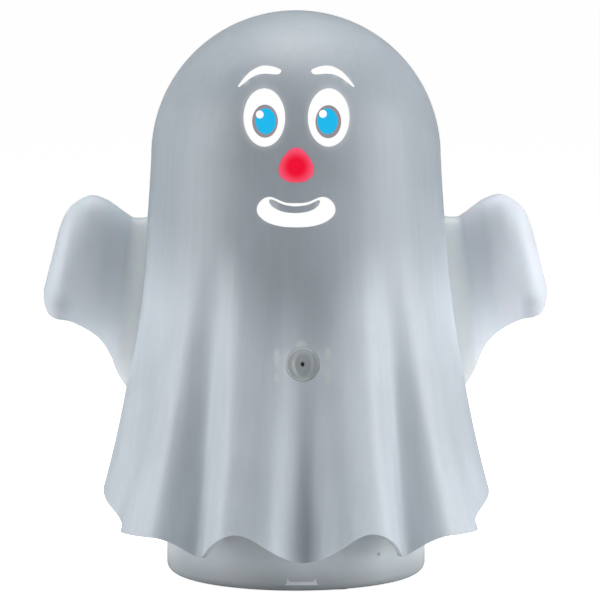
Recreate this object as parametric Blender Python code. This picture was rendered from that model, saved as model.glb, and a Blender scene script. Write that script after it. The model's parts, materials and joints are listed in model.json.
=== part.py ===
"""A ghost figure that lights its own face: a fluted frosted body on a drum base, with a projector inside.

Metres, +Z up. The origin is on the table under the middle of the figure, and the face looks along -Y.
"""

import math

import bmesh
import bpy
import numpy as np
from mathutils import Matrix

# Whole figure
HEIGHT = 0.330
CLEARANCE = 0.0003
OVERRUN = 0.002
MERGE = 0.000001
QUARTER = math.pi / 2

# Fluted body
DOME_RADIUS = 0.0844
HEM_RADIUS = 0.1128
HEM_HEIGHT = 0.0397
HEM_DROP = 0.0177
SHELL_WALL = 0.0022
FOLD_COUNT = 9
FOLD_DEPTH_SHARE = 0.5435
FOLD_TOP = 0.205
FOLD_GROWTH_SHARE = 1.25
FOLD_SHARPNESS_SHARE = 2.0
GATHER_SHARE = 0.18
SIDE_BUNCH = math.pi / 2
FLARE_SHARE = 0.36
COLUMNS_PER_FOLD = 8
BEARING_SAMPLES = 721
DOME_ROWS = 5
SKIRT_ROWS = 9
SHOULDER_HEIGHT = HEIGHT - DOME_RADIUS
SURFACE_STEP_SHARE = 0.001
PATCH_STEPS = 5

# Drum base
DRUM_RADIUS = 0.076
FOLD_DEPTH = FOLD_DEPTH_SHARE * (HEM_RADIUS - DRUM_RADIUS)
DRUM_HEIGHT = 0.058
DRUM_WALL = 0.0025
DRUM_CORNER = 0.005
FOOT_STAND = 0.0015
PLATE_THICKNESS = 0.0025
LEDGE_THICKNESS = 0.002
LEDGE_WIDTH = 0.0075
DECK_THICKNESS = 0.003

# Arms
ARM_REACH = 0.0633
ARM_ROOT = DOME_RADIUS
ARM_LOW = 0.1053
ARM_HEIGHT = 0.1174
ARM_DEPTH = 0.0185
ARM_WALL = 0.0022

# Projector
TILT = math.radians(34)
PROJECTOR_BACK = 0.030
PROJECTOR_LIFT = 0.0165
ENGINE_SIDE = 0.036
ENGINE_WALL = 0.002


def clear_scene():
    for obj in list(bpy.data.objects):
        bpy.data.objects.remove(obj, do_unlink=True)


def material(name, colour, roughness, metallic=0.0, alpha=1.0):
    made = bpy.data.materials.new(name)
    made.use_nodes = True
    shader = made.node_tree.nodes["Principled BSDF"]
    shader.inputs["Base Color"].default_value = (*colour, 1.0)
    shader.inputs["Roughness"].default_value = roughness
    shader.inputs["Metallic"].default_value = metallic
    shader.inputs["Alpha"].default_value = alpha
    made.diffuse_color = (*colour, alpha)
    return made


def axis_empty(name, location, tilt=0.0, parent=None):
    """A guide that carries pieces: its own Z is their axis, tilted about X."""
    guide = bpy.data.objects.new(name, None)
    guide.location = location
    guide.rotation_euler = (tilt, 0, 0)
    guide.parent = parent
    bpy.context.scene.collection.objects.link(guide)
    return guide


def add(name, bm, finish, parent=None, location=(0, 0, 0)):
    """One named object from a bmesh, with its origin at location under its parent."""
    bmesh.ops.triangulate(bm, faces=bm.faces[:])
    bmesh.ops.recalc_face_normals(bm, faces=bm.faces[:])
    mesh = bpy.data.meshes.new(name)
    bm.to_mesh(mesh)
    bm.free()
    mesh.shade_smooth()
    mesh.set_sharp_from_angle(angle=math.radians(30))
    obj = bpy.data.objects.new(name, mesh)
    if finish:
        mesh.materials.append(finish)
    obj.parent = parent
    obj.location = location
    bpy.context.scene.collection.objects.link(obj)
    return obj


def combine(obj, bm, operation, parent=None, location=(0, 0, 0)):
    """Cuts a helper shape from an object, or joins it on, with a live Boolean."""
    helper = add(f"{obj.name}_{operation.lower()}_{len(obj.modifiers)}", bm, None, parent, location)
    helper.hide_render = True
    helper.display_type = "WIRE"
    modifier = obj.modifiers.new(helper.name, "BOOLEAN")
    modifier.operation = operation
    modifier.solver = "EXACT"
    modifier.object = helper
    return helper


def block(size, centre=(0, 0, 0), into=None):
    """A box of the given sides about a centre."""
    bm = into or bmesh.new()
    place = Matrix.Translation(centre) @ Matrix.Diagonal((*size, 1))
    bmesh.ops.create_cube(bm, size=1, matrix=place)
    return bm


def prism(outline, low, high, into=None):
    """An (x, y) outline carried along Z from low to high."""
    bm = into or bmesh.new()
    face = bm.faces.new([bm.verts.new((x, y, low)) for x, y in outline])
    grown = bmesh.ops.extrude_face_region(bm, geom=[face])["geom"]
    corners = [part for part in grown if isinstance(part, bmesh.types.BMVert)]
    bmesh.ops.translate(bm, verts=corners, vec=(0, 0, high - low))
    bmesh.ops.recalc_face_normals(bm, faces=bm.faces[:])
    return bm


def ring_of_points(radius_x, radius_y, count, centre=(0, 0)):
    turn = [2 * math.pi * step / count for step in range(count)]
    return [(centre[0] + radius_x * math.cos(a), centre[1] + radius_y * math.sin(a)) for a in turn]


def rod(radius, low, high, centre=(0, 0), count=16, into=None):
    return prism(ring_of_points(radius, radius, count, centre), low, high, into)


def turned(profile, steps):
    """A (radius, height) outline turned once round its own Z."""
    bm = bmesh.new()
    points = [bm.verts.new((radius, 0, height)) for radius, height in profile]
    pairs = list(zip(points, points[1:] + points[:1]))
    lines = [bm.edges.new(pair) for pair in pairs if pair[0].co.x > 0 or pair[1].co.x > 0]
    turn = {"cent": (0, 0, 0), "axis": (0, 0, 1), "angle": 2 * math.pi, "steps": steps}
    bmesh.ops.spin(bm, geom=points + lines, **turn)
    bmesh.ops.remove_doubles(bm, verts=bm.verts[:], dist=MERGE)
    return bm


def loft(rings):
    """Closed skin over a list of rings with the same count of points, capped at both ends."""
    bm = bmesh.new()
    made = [[bm.verts.new(point) for point in ring] for ring in rings]
    count = len(made[0])
    for near, far in zip(made, made[1:]):
        for step in range(count):
            after = (step + 1) % count
            bm.faces.new((near[step], near[after], far[after], far[step]))
    bm.faces.new(made[0][::-1])
    bm.faces.new(made[-1])
    return bm


def arc(centre, radius, first, last, count):
    """Points on a quarter or other part of a circle, angles in right angles."""
    turns = [QUARTER * (first + (last - first) * step / count) for step in range(count + 1)]
    return [(centre[0] + radius * math.cos(a), centre[1] + radius * math.sin(a)) for a in turns]


clear_scene()
FROSTED = material("frosted_polythene", (0.72, 0.75, 0.78), 0.42, alpha=0.8)
BASE_PLASTIC = material("base_plastic", (0.60, 0.63, 0.66), 0.40)
INNER_PLASTIC = material("inner_plastic", (0.10, 0.10, 0.11), 0.50)
RUBBER = material("rubber", (0.05, 0.05, 0.05), 0.85)
STEEL = material("zinc_steel", (0.60, 0.61, 0.62), 0.30, metallic=1.0)
ALUMINIUM = material("aluminium", (0.75, 0.76, 0.78), 0.35, metallic=1.0)
BOARD = material("circuit_board", (0.02, 0.22, 0.10), 0.50)
LENS = material("lens_glass", (0.92, 0.95, 0.97), 0.03, alpha=0.35)
PAPER = material("speaker_paper", (0.08, 0.08, 0.08), 0.90)
CONTROL = material("control_plastic", (0.20, 0.20, 0.22), 0.45)


# Fluted body: a dome that runs into a flared skirt with nine folds, split down both sides
HEM_LOW = HEM_HEIGHT - HEM_DROP


def fold_growth(z):
    """0 above the folds, 1 at the lowest point of the hem."""
    return np.clip((FOLD_TOP - z) / (FOLD_TOP - HEM_LOW), 0, 1)


def fold_phase(theta):
    """A turn for each fold, run ahead at the sides, where the arches of the hem bunch together."""
    return FOLD_COUNT * theta + SIDE_BUNCH * np.sin(theta) ** 3


def hem_height(theta):
    """Height of the scalloped lower edge: high under a ridge, low under a valley."""
    return HEM_HEIGHT - HEM_DROP * (1 + np.cos(fold_phase(theta))) / 2


def body_radius(theta, z):
    """Radius of the skirt: a flaring ridge line, less a valley at each fold."""
    below = np.clip((SHOULDER_HEIGHT - z) / (SHOULDER_HEIGHT - HEM_HEIGHT), 0, None)
    flare = FLARE_SHARE * below + (1 - FLARE_SHARE) * below**2
    ridge = DOME_RADIUS + (HEM_RADIUS - DOME_RADIUS) * flare
    growth = fold_growth(z)
    phase = fold_phase(theta) + FOLD_COUNT * GATHER_SHARE * (1 - growth) * np.sin(theta)
    valley = ((1 + np.cos(phase)) / 2) ** FOLD_SHARPNESS_SHARE
    return ridge - FOLD_DEPTH * growth**FOLD_GROWTH_SHARE * valley


def body_surface(theta, row):
    """A point on the outside: row runs 0 to 1 down the dome and 1 to 2 down the skirt."""
    fall = np.clip(row, 0, 1) * QUARTER
    down = np.clip(row - 1, 0, 1)
    z = SHOULDER_HEIGHT + DOME_RADIUS * np.cos(fall) - (SHOULDER_HEIGHT - hem_height(theta)) * down
    radius = np.where(row < 1, DOME_RADIUS * np.sin(fall), body_radius(theta, z))
    return np.stack([radius * np.sin(theta), -radius * np.cos(theta), z + 0 * theta], axis=-1)


def body_offset(theta, row, distance):
    """The surface moved outwards by a distance along its own normal."""
    step = SURFACE_STEP_SHARE
    low = np.clip(row - step, step, 2 - step)
    along = body_surface(theta, low + step) - body_surface(theta, low)
    around = body_surface(theta + step, row) - body_surface(theta - step, row)
    normal = np.cross(along, around)
    normal /= np.linalg.norm(normal, axis=-1, keepdims=True)
    return body_surface(theta, row) + distance * normal


def row_of_height(theta, z):
    """The row of the skirt that lies at a height."""
    return 1 + (SHOULDER_HEIGHT - z) / (SHOULDER_HEIGHT - hem_height(theta))


ROWS = np.concatenate(
    [np.arange(1, DOME_ROWS + 1) / DOME_ROWS, 1 + np.arange(1, SKIRT_ROWS + 1) / SKIRT_ROWS]
)


def fold_bearings(first, turn):
    """Bearings at even steps of the phase, so that a column falls on every ridge and valley line."""
    fine = np.linspace(first, first + turn, BEARING_SAMPLES)
    phase = fold_phase(fine)
    columns = round((phase[-1] - phase[0]) * COLUMNS_PER_FOLD / (2 * math.pi))
    return np.interp(np.linspace(phase[0], phase[-1], columns + 1), phase, fine)


def shell_half(first_angle, side):
    """Half of the body as a wall of even thickness, with flat faces along the split."""
    theta = fold_bearings(first_angle, math.pi)[None, :]
    columns = theta.size - 1
    skins = [body_offset(theta, ROWS[:, None], -depth) for depth in (0, SHELL_WALL)]
    seam = side * CLEARANCE / 2
    bm = bmesh.new()
    grids = []
    poles = []
    for skin, depth in zip(skins, (0, SHELL_WALL)):
        skin[:, 0, 1] = seam
        skin[:, -1, 1] = seam
        grids.append([[bm.verts.new(point) for point in line] for line in skin])
        poles.append(bm.verts.new((0, seam, HEIGHT - depth)))
    for grid, pole in zip(grids, poles):
        for left in range(columns):
            bm.faces.new((pole, grid[0][left], grid[0][left + 1]))
            for upper, lower in zip(grid, grid[1:]):
                bm.faces.new((upper[left], lower[left], lower[left + 1], upper[left + 1]))
    outer, inner = grids
    for left in range(columns):
        bm.faces.new((outer[-1][left], inner[-1][left], inner[-1][left + 1], outer[-1][left + 1]))
    for edge in (0, -1):
        bm.faces.new((poles[0], outer[0][edge], inner[0][edge], poles[1]))
        for up in range(len(ROWS) - 1):
            corner = (outer[up][edge], outer[up + 1][edge], inner[up + 1][edge], inner[up][edge])
            bm.faces.new(corner)
    return bm


def body_blank(distance):
    """The whole body as a closed solid, its surface moved outwards by a distance."""
    theta = fold_bearings(-QUARTER, 2 * math.pi)[None, :-1]
    return loft(body_offset(theta, ROWS[:, None], distance))


def body_patch(theta, heights, near, far):
    """A curved pad that follows the wall: near and far are depths below the outer surface."""
    angles = np.linspace(theta[0], theta[1], PATCH_STEPS)
    levels = np.linspace(heights[0], heights[1], PATCH_STEPS)
    bm = bmesh.new()
    grids = []
    for depth in (near, far):
        grid = []
        for level in levels:
            rows = np.array([row_of_height(angle, level) for angle in angles])
            grid.append([bm.verts.new(p) for p in body_offset(angles, rows, -depth)])
        grids.append(grid)
    last = PATCH_STEPS - 1
    for grid in grids:
        for up in range(last):
            for left in range(last):
                square = (grid[up][left], grid[up][left + 1], grid[up + 1][left + 1], grid[up + 1][left])
                bm.faces.new(square)
    rim = [(0, i) for i in range(last)] + [(i, last) for i in range(last)]
    rim += [(last, last - i) for i in range(last)] + [(last - i, 0) for i in range(last)]
    for here, there in zip(rim, rim[1:] + rim[:1]):
        near_grid, far_grid = grids
        square = (near_grid[here[0]][here[1]], near_grid[there[0]][there[1]])
        bm.faces.new(square + (far_grid[there[0]][there[1]], far_grid[here[0]][here[1]]))
    return bm


front_shell = add("front_shell", shell_half(-QUARTER, -1), FROSTED)
back_shell = add("back_shell", shell_half(QUARTER, 1), FROSTED)


# Arms: hollow mittens whose necks are trapped in oval openings between the two shell halves
NECK_HEIGHT = 0.164
NECK_HALF_DEPTH = 0.009
NECK_HALF_HEIGHT = 0.026
NECK_REACH = 0.012
FLANGE_THICKNESS = 0.0018
FLANGE_MARGIN = 0.005
ARM_POINTS = 14
ARM_SQUARENESS_SHARE = 0.84

# Each row: top x, top z, bottom x, bottom z, half depth, as shares of reach, rise and depth
ARM_SECTION_SHARES = (
    (-0.12, 0.90, 0.06, -0.10, 0.86),
    (0.13, 0.887, 0.30, 0.09, 0.88),
    (0.22, 0.907, 0.38, 0.193, 0.91),
    (0.325, 0.948, 0.461, 0.267, 0.95),
    (0.42, 0.981, 0.57, 0.319, 1.00),
    (0.556, 1.0, 0.747, 0.368, 0.99),
    (0.692, 0.967, 0.881, 0.382, 0.90),
    (0.784, 0.916, 0.957, 0.41, 0.70),
    (0.850, 0.832, 0.995, 0.47, 0.43),
    (0.895, 0.74, 0.998, 0.53, 0.13),
)


def arm_loft(side, inset):
    """Superellipse sections between the top and bottom lines of the mitten, drawn in by an inset."""
    rings = []
    for top_x, top_z, low_x, low_z, depth in ARM_SECTION_SHARES:
        top = np.array([ARM_ROOT + ARM_REACH * top_x, 0, ARM_LOW + ARM_HEIGHT * top_z])
        low = np.array([ARM_ROOT + ARM_REACH * low_x, 0, ARM_LOW + ARM_HEIGHT * low_z])
        middle = (top + low) / 2
        upright = (top - low) / np.linalg.norm(top - low)
        half_height = np.linalg.norm(top - low) / 2 - inset
        half_depth = ARM_DEPTH * depth - inset
        if half_depth < inset:
            continue
        angle = 2 * math.pi * np.arange(ARM_POINTS) / ARM_POINTS
        across, along = np.cos(angle), np.sin(angle)
        across = np.sign(across) * abs(across) ** ARM_SQUARENESS_SHARE
        along = np.sign(along) * abs(along) ** ARM_SQUARENESS_SHARE
        ring = middle + half_height * across[:, None] * upright
        ring[:, 1] += half_depth * along
        ring[:, 0] *= side
        rings.append(ring)
    return loft(rings)


def across_body(outline, side, low, high):
    """A (y, z) outline carried along X from low to high on one side of the figure."""
    bm = prism(outline, low, high)
    turn = Matrix(((0, 0, side, 0), (1, 0, 0, 0), (0, 1, 0, 0), (0, 0, 0, 1)))
    bm.transform(turn)
    bmesh.ops.recalc_face_normals(bm, faces=bm.faces[:])
    return bm


def oval(grow):
    centre = (0, NECK_HEIGHT)
    return ring_of_points(NECK_HALF_DEPTH + grow, NECK_HALF_HEIGHT + grow, ARM_POINTS, centre)


def make_arm(name, side):
    arm = add(name, arm_loft(side, 0), FROSTED)
    combine(arm, body_blank(CLEARANCE), "DIFFERENCE")
    neck_radius = float(body_radius(np.array(QUARTER), np.array(NECK_HEIGHT + NECK_HALF_HEIGHT)))
    neck_start = neck_radius - NECK_REACH / 2
    neck_end = neck_radius + NECK_REACH
    combine(arm, across_body(oval(0), side, neck_start, neck_end), "UNION")
    spread = (NECK_HALF_DEPTH + FLANGE_MARGIN) / DOME_RADIUS
    reach = NECK_HALF_HEIGHT + FLANGE_MARGIN
    near = SHELL_WALL + CLEARANCE
    angles = (side * QUARTER - spread, side * QUARTER + spread)
    levels = (NECK_HEIGHT - reach, NECK_HEIGHT + reach)
    combine(arm, body_patch(angles, levels, near, near + FLANGE_THICKNESS), "UNION")
    hollow = add(f"{name}_hollow", arm_loft(side, ARM_WALL), None)
    hollow.hide_render = True
    hollow.display_type = "WIRE"
    combine(hollow, body_blank(CLEARANCE + ARM_WALL), "DIFFERENCE")
    combine(hollow, across_body(oval(-ARM_WALL), side, neck_start - NECK_REACH, neck_end), "UNION")
    cavity = arm.modifiers.new("cavity", "BOOLEAN")
    cavity.operation = "DIFFERENCE"
    cavity.object = hollow
    for half in (front_shell, back_shell):
        gap = across_body(oval(CLEARANCE), side, neck_start - NECK_REACH, neck_end + NECK_REACH)
        combine(half, gap, "DIFFERENCE")
    return arm


make_arm("left_arm", 1)
make_arm("right_arm", -1)


# Drum base: rounded foot, inner ledge for the bottom plate, a flat at the back for the controls
PLATE_TOP = FOOT_STAND + PLATE_THICKNESS
LEDGE_BOTTOM = PLATE_TOP + CLEARANCE
LEDGE_TOP = LEDGE_BOTTOM + LEDGE_THICKNESS
DRUM_BORE = DRUM_RADIUS - DRUM_WALL
LEDGE_RADIUS = DRUM_BORE - LEDGE_WIDTH
PLATE_RADIUS = DRUM_RADIUS - DRUM_CORNER - DRUM_WALL
DRUM_STEPS = 32
LATCH_HALF_WIDTH = 0.0088
LATCH_TOP = 0.0086
LATCH_TAPER = 0.0016
PANEL_SEAT = 0.070
PANEL_THICKNESS = 0.0025
PANEL_LOW = 0.009
PANEL_HIGH = 0.035
PANEL_MIDDLE = (PANEL_LOW + PANEL_HIGH) / 2
GATE_MARK_X = 0.0475
GATE_MARK_LEVEL = 0.0185
GATE_MARK_RADIUS = 0.0009
GATE_MARK_DEPTH = 0.0012


def drum_profile():
    corner = (DRUM_RADIUS - DRUM_CORNER, FOOT_STAND + DRUM_CORNER)
    inner_corner = (DRUM_BORE - LEDGE_THICKNESS, LEDGE_TOP + LEDGE_THICKNESS)
    outer = arc(corner, DRUM_CORNER, -1, 0, 3) + [(DRUM_RADIUS, DRUM_HEIGHT), (DRUM_BORE, DRUM_HEIGHT)]
    inner = arc(inner_corner, LEDGE_THICKNESS, 0, -1, 2)
    ledge = [(LEDGE_RADIUS, LEDGE_TOP), (LEDGE_RADIUS, LEDGE_BOTTOM)]
    foot = [(PLATE_RADIUS + CLEARANCE, LEDGE_BOTTOM), (PLATE_RADIUS + CLEARANCE, FOOT_STAND)]
    return outer + inner + ledge + foot


base_drum = add("base_drum", turned(drum_profile(), DRUM_STEPS), BASE_PLASTIC)
latch_width = 2 * (LATCH_HALF_WIDTH + CLEARANCE)
latch_height = LATCH_TOP + CLEARANCE
notch = block(
    (latch_width, 2 * LEDGE_WIDTH + DRUM_WALL, 2 * latch_height),
    (0, -DRUM_RADIUS - OVERRUN + (2 * LEDGE_WIDTH + DRUM_WALL) / 2, 0),
)
combine(base_drum, notch, "DIFFERENCE")
window = block(
    (DRUM_RADIUS, DRUM_RADIUS, PANEL_HIGH - PANEL_LOW),
    (0, PANEL_SEAT + DRUM_RADIUS / 2, PANEL_MIDDLE),
)
combine(base_drum, window, "DIFFERENCE")
pit = rod(GATE_MARK_RADIUS, DRUM_RADIUS / 2, DRUM_RADIUS, count=6)
pit.transform(Matrix.Rotation(QUARTER, 4, "X"))
pit_floor = math.sqrt(DRUM_RADIUS**2 - GATE_MARK_X**2) - GATE_MARK_DEPTH
bmesh.ops.translate(pit, verts=pit.verts[:], vec=(GATE_MARK_X, DRUM_RADIUS / 2 - pit_floor, GATE_MARK_LEVEL))
combine(base_drum, pit, "DIFFERENCE")


# Bottom plate: a disc with speaker slots, screw holes, foot recesses and the snap tab at the front
POST_ANGLES = [QUARTER / 2 + QUARTER * quarter for quarter in range(4)]
POST_CIRCLE = 0.058
POST_RADIUS = 0.0042
PILOT_RADIUS = 0.0014
SCREW_RADIUS = 0.0011
SCREW_HEAD_RADIUS = 0.0030
SCREW_HEAD_HEIGHT = 0.0012
SCREW_SIDES = 6
SMALL_HEAD_RADIUS = 0.0024
HEAD_CROWN_SHARE = 0.8
FOOT_RADIUS = 0.006
FOOT_CIRCLE = 0.060
FOOT_RECESS = 0.001
SPEAKER_X = -0.022
SPEAKER_Y = -0.020
SPEAKER_RADIUS = 0.016
SLOT_WIDTH = 0.0024
SLOT_PITCH = 0.0052
SLOT_COUNT = 5
SPEAKER_RIM = 0.0016


def around(angle, radius):
    return (radius * math.cos(angle), radius * math.sin(angle))


post_places = [around(angle, POST_CIRCLE) for angle in POST_ANGLES]
foot_places = [around(QUARTER * quarter + QUARTER / 4, FOOT_CIRCLE) for quarter in range(4)]

plate_blank = rod(PLATE_RADIUS, FOOT_STAND, PLATE_TOP, count=DRUM_STEPS)
bottom_plate = add("bottom_plate", plate_blank, BASE_PLASTIC)


def latch_tab():
    """The snap tab, an L in side view that follows the drum's rounded edge, tapered in front view."""
    outside = DRUM_RADIUS - CLEARANCE
    corner = (outside - DRUM_CORNER, FOOT_STAND + DRUM_CORNER)
    profile = arc(corner, DRUM_CORNER, -1, 0, 3) + [(outside, LATCH_TOP)]
    profile += [(DRUM_BORE, LATCH_TOP), (DRUM_BORE, PLATE_TOP), (PLATE_RADIUS - OVERRUN, PLATE_TOP)]
    profile += [(PLATE_RADIUS - OVERRUN, FOOT_STAND)]
    bm = across_body([(-radius, z) for radius, z in profile], 1, -LATCH_HALF_WIDTH, LATCH_HALF_WIDTH)
    for vert in bm.verts:
        rise = max(0, vert.co.z - FOOT_STAND) / (LATCH_TOP - FOOT_STAND)
        vert.co.x *= 1 - rise * LATCH_TAPER / LATCH_HALF_WIDTH
    return bm


combine(bottom_plate, latch_tab(), "UNION")
seat_outer = SPEAKER_RADIUS + CLEARANCE + SPEAKER_RIM
seat_profile = [
    (SPEAKER_RADIUS + CLEARANCE, PLATE_TOP - PLATE_THICKNESS / 2),
    (seat_outer, PLATE_TOP - PLATE_THICKNESS / 2),
    (seat_outer, PLATE_TOP + 2 * SPEAKER_RIM),
    (SPEAKER_RADIUS + CLEARANCE, PLATE_TOP + 2 * SPEAKER_RIM),
]
combine(bottom_plate, turned(seat_profile, 16), "UNION", location=(SPEAKER_X, SPEAKER_Y, 0))
plate_cuts = bmesh.new()
for index in range(SLOT_COUNT):
    offset = (index - (SLOT_COUNT - 1) / 2) * SLOT_PITCH
    reach = math.sqrt((SPEAKER_RADIUS - SPEAKER_RIM) ** 2 - offset**2) - SPEAKER_RIM
    centre = (SPEAKER_X + offset, SPEAKER_Y, PLATE_TOP)
    block((SLOT_WIDTH, 2 * reach, 4 * PLATE_THICKNESS), centre, plate_cuts)
for place in post_places:
    rod(SCREW_RADIUS + CLEARANCE, -OVERRUN, PLATE_TOP + OVERRUN, place, 6, plate_cuts)
combine(bottom_plate, plate_cuts, "DIFFERENCE")
head_seat = FOOT_STAND + SCREW_HEAD_HEIGHT + CLEARANCE
plate_recesses = bmesh.new()
for place in post_places:
    rod(SCREW_HEAD_RADIUS + CLEARANCE, -OVERRUN, head_seat, place, 8, plate_recesses)
for place in foot_places:
    rod(FOOT_RADIUS + CLEARANCE, -OVERRUN, FOOT_STAND + FOOT_RECESS, place, 12, plate_recesses)
combine(bottom_plate, plate_recesses, "DIFFERENCE")

for number, place in enumerate(foot_places, 1):
    chamfer = CLEARANCE
    foot_top = FOOT_STAND + FOOT_RECESS - CLEARANCE
    foot_profile = [
        (0, 0), (FOOT_RADIUS - chamfer, 0), (FOOT_RADIUS, chamfer), (FOOT_RADIUS, foot_top), (0, foot_top)
    ]
    add(f"rubber_foot_{number}", turned(foot_profile, 12), RUBBER, location=(*place, 0))


def screw(name, place, length, parent=None, head_radius=SCREW_HEAD_RADIUS, radius=SCREW_RADIUS):
    """A pan head with its shank running up its own Z, the head's underside at the place."""
    profile = [
        (0, -SCREW_HEAD_HEIGHT),
        (head_radius * HEAD_CROWN_SHARE, -SCREW_HEAD_HEIGHT),
        (head_radius, -SCREW_HEAD_HEIGHT / 2),
        (head_radius, 0),
        (radius, 0),
        (radius, length - radius),
        (0, length),
    ]
    return add(name, turned(profile, SCREW_SIDES), STEEL, parent, place)


BASE_SCREW_LENGTH = 0.014
for number, place in enumerate(post_places, 1):
    screw(f"base_screw_{number}", (*place, head_seat - CLEARANCE / 2), BASE_SCREW_LENGTH)


# Deck: closes the drum and carries the shell on four ears and the projector in the middle
DECK_LOW = DRUM_HEIGHT + CLEARANCE
DECK_TOP = DECK_LOW + DECK_THICKNESS
DECK_RIM = 0.0022
DECK_SKIRT = 0.005
EAR_PLACE_SHARE = 0.45
EAR_HALF_WIDTH = 0.0060
BOSS_HEIGHT = 0.016
bearings = np.linspace(0, math.pi, BEARING_SAMPLES)
front_ear, rear_ear = np.interp((3 * math.pi, 7 * math.pi), fold_phase(bearings), bearings)
EAR_BEARINGS = [-rear_ear, -front_ear, front_ear, rear_ear]
EAR_ANGLES = [bearing - QUARTER for bearing in EAR_BEARINGS]
boss_low = DECK_TOP + CLEARANCE
ear_walls = body_radius(np.array(EAR_BEARINGS), np.array(boss_low + BOSS_HEIGHT)) - SHELL_WALL
ear_circle = DRUM_RADIUS + EAR_PLACE_SHARE * (float(min(ear_walls)) - DRUM_RADIUS)
VENT_RADIUS = 0.0140
VENT_PLACE = (0, PROJECTOR_BACK)
deck_plate = add("deck_plate", rod(DRUM_RADIUS, DECK_LOW, DECK_TOP, count=DRUM_STEPS), INNER_PLASTIC)
for angle in EAR_ANGLES:
    root = DRUM_RADIUS - 2 * EAR_HALF_WIDTH
    outline = arc((ear_circle, 0), EAR_HALF_WIDTH, -1, 1, 4) + [
        (root, EAR_HALF_WIDTH), (root, -EAR_HALF_WIDTH)
    ]
    bar = prism(outline, DECK_LOW, DECK_TOP)
    bar.transform(Matrix.Rotation(angle, 4, "Z"))
    combine(deck_plate, bar, "UNION")
skirt_radius = DRUM_BORE - CLEARANCE
skirt_profile = [
    (skirt_radius - DECK_RIM, DECK_LOW - DECK_SKIRT),
    (skirt_radius, DECK_LOW - DECK_SKIRT),
    (skirt_radius, DECK_LOW + DECK_THICKNESS / 2),
    (skirt_radius - DECK_RIM, DECK_LOW + DECK_THICKNESS / 2),
]
combine(deck_plate, turned(skirt_profile, DRUM_STEPS), "UNION")
BOARD_POST_X = 0.028
BOARD_POST_Y = 0.018
BOARD_POST_RADIUS = 0.0032
BOARD_POSTS = [(side * BOARD_POST_X, BOARD_POST_Y) for side in (-1, 1)]
MAIN_BOARD_TOP = 0.044
post_low = PLATE_TOP + CLEARANCE
deck_posts = bmesh.new()
for place in post_places:
    rod(POST_RADIUS, post_low, DECK_LOW + DECK_THICKNESS / 2, place, 8, deck_posts)
for place in BOARD_POSTS:
    rod(BOARD_POST_RADIUS, MAIN_BOARD_TOP + CLEARANCE, DECK_LOW + DECK_THICKNESS / 2, place, 8, deck_posts)
combine(deck_plate, deck_posts, "UNION")
CRADLE_HALF = 0.028
CRADLE_SCREW_X = 0.0244
CRADLE_SCREW_Y = 0.017
CRADLE_SCREWS = [(side * CRADLE_SCREW_X, CRADLE_SCREW_Y) for side in (-1, 1)]
deck_cuts = rod(VENT_RADIUS, DECK_LOW - OVERRUN, DECK_TOP + OVERRUN, VENT_PLACE, 20)
for place in post_places:
    rod(PILOT_RADIUS, 0, post_low + BASE_SCREW_LENGTH, place, 6, deck_cuts)
BOARD_SCREW_LENGTH = 0.008
for place in BOARD_POSTS:
    rod(PILOT_RADIUS, MAIN_BOARD_TOP - OVERRUN, MAIN_BOARD_TOP + BOARD_SCREW_LENGTH, place, 6, deck_cuts)
for angle in EAR_ANGLES:
    rod(
        SCREW_RADIUS + CLEARANCE,
        DECK_LOW - OVERRUN,
        DECK_TOP + OVERRUN,
        around(angle, ear_circle),
        6,
        deck_cuts,
    )
for place in CRADLE_SCREWS:
    rod(PILOT_RADIUS, DECK_LOW - OVERRUN, DECK_TOP + OVERRUN, place, 6, deck_cuts)
combine(deck_plate, deck_cuts, "DIFFERENCE")

# Shell bosses: tubes on ribs inside the shell, above the deck's ears
BOSS_RADIUS = 0.0038
RIB_THICKNESS = 0.0018
SHELL_SCREW_LENGTH = 0.012
for number, angle in enumerate(EAR_ANGLES, 1):
    x, y = around(angle, ear_circle)
    half = front_shell if y < 0 else back_shell
    bearing = math.atan2(x, -y)
    wall = float(body_radius(np.array(bearing), np.array(boss_low + BOSS_HEIGHT)))
    boss = rod(BOSS_RADIUS, boss_low, boss_low + BOSS_HEIGHT, (ear_circle, 0), 12)
    boss.transform(Matrix.Rotation(angle, 4, "Z"))
    combine(half, boss, "UNION")
    rib_reach = wall - SHELL_WALL / 2 - ear_circle
    rib_middle = (ear_circle + rib_reach / 2, 0, boss_low + BOSS_HEIGHT / 2)
    rib = block((rib_reach, RIB_THICKNESS, BOSS_HEIGHT - 2 * CLEARANCE), rib_middle)
    rib.transform(Matrix.Rotation(angle, 4, "Z"))
    combine(half, rib, "UNION")
    pilot = rod(PILOT_RADIUS, boss_low - OVERRUN, boss_low + SHELL_SCREW_LENGTH, (x, y), 8)
    combine(half, pilot, "DIFFERENCE")
    screw(f"shell_screw_{number}", (x, y, DECK_LOW - CLEARANCE), SHELL_SCREW_LENGTH)


# Projector: fan, heat sink, lamp, housing and lens in line on a tilted axis, held by a cradle
FAN_SIDE = 0.034
FAN_DEPTH = 0.010
FIN_HEIGHT = 0.012
FIN_COUNT = 9
FIN_THICKNESS = 0.0014
SINK_PLATE = 0.003
HOUSING_LENGTH = 0.034
MOUNT_RADIUS = 0.0145
MOUNT_LENGTH = 0.014
MOUNT_BORE = 0.0125
BARREL_WALL = 0.0018
BARREL_LENGTH = 0.026
CRADLE_THICKNESS = 0.0024
cradle_low = DECK_TOP + CLEARANCE
axis_low = cradle_low + PROJECTOR_LIFT
projector_axis = axis_empty("projector_axis", (0, PROJECTOR_BACK, axis_low), TILT)
sink_low = FAN_DEPTH + CLEARANCE
plate_low = sink_low + FIN_HEIGHT
housing_low = plate_low + SINK_PLATE + CLEARANCE
housing_high = housing_low + HOUSING_LENGTH

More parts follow.
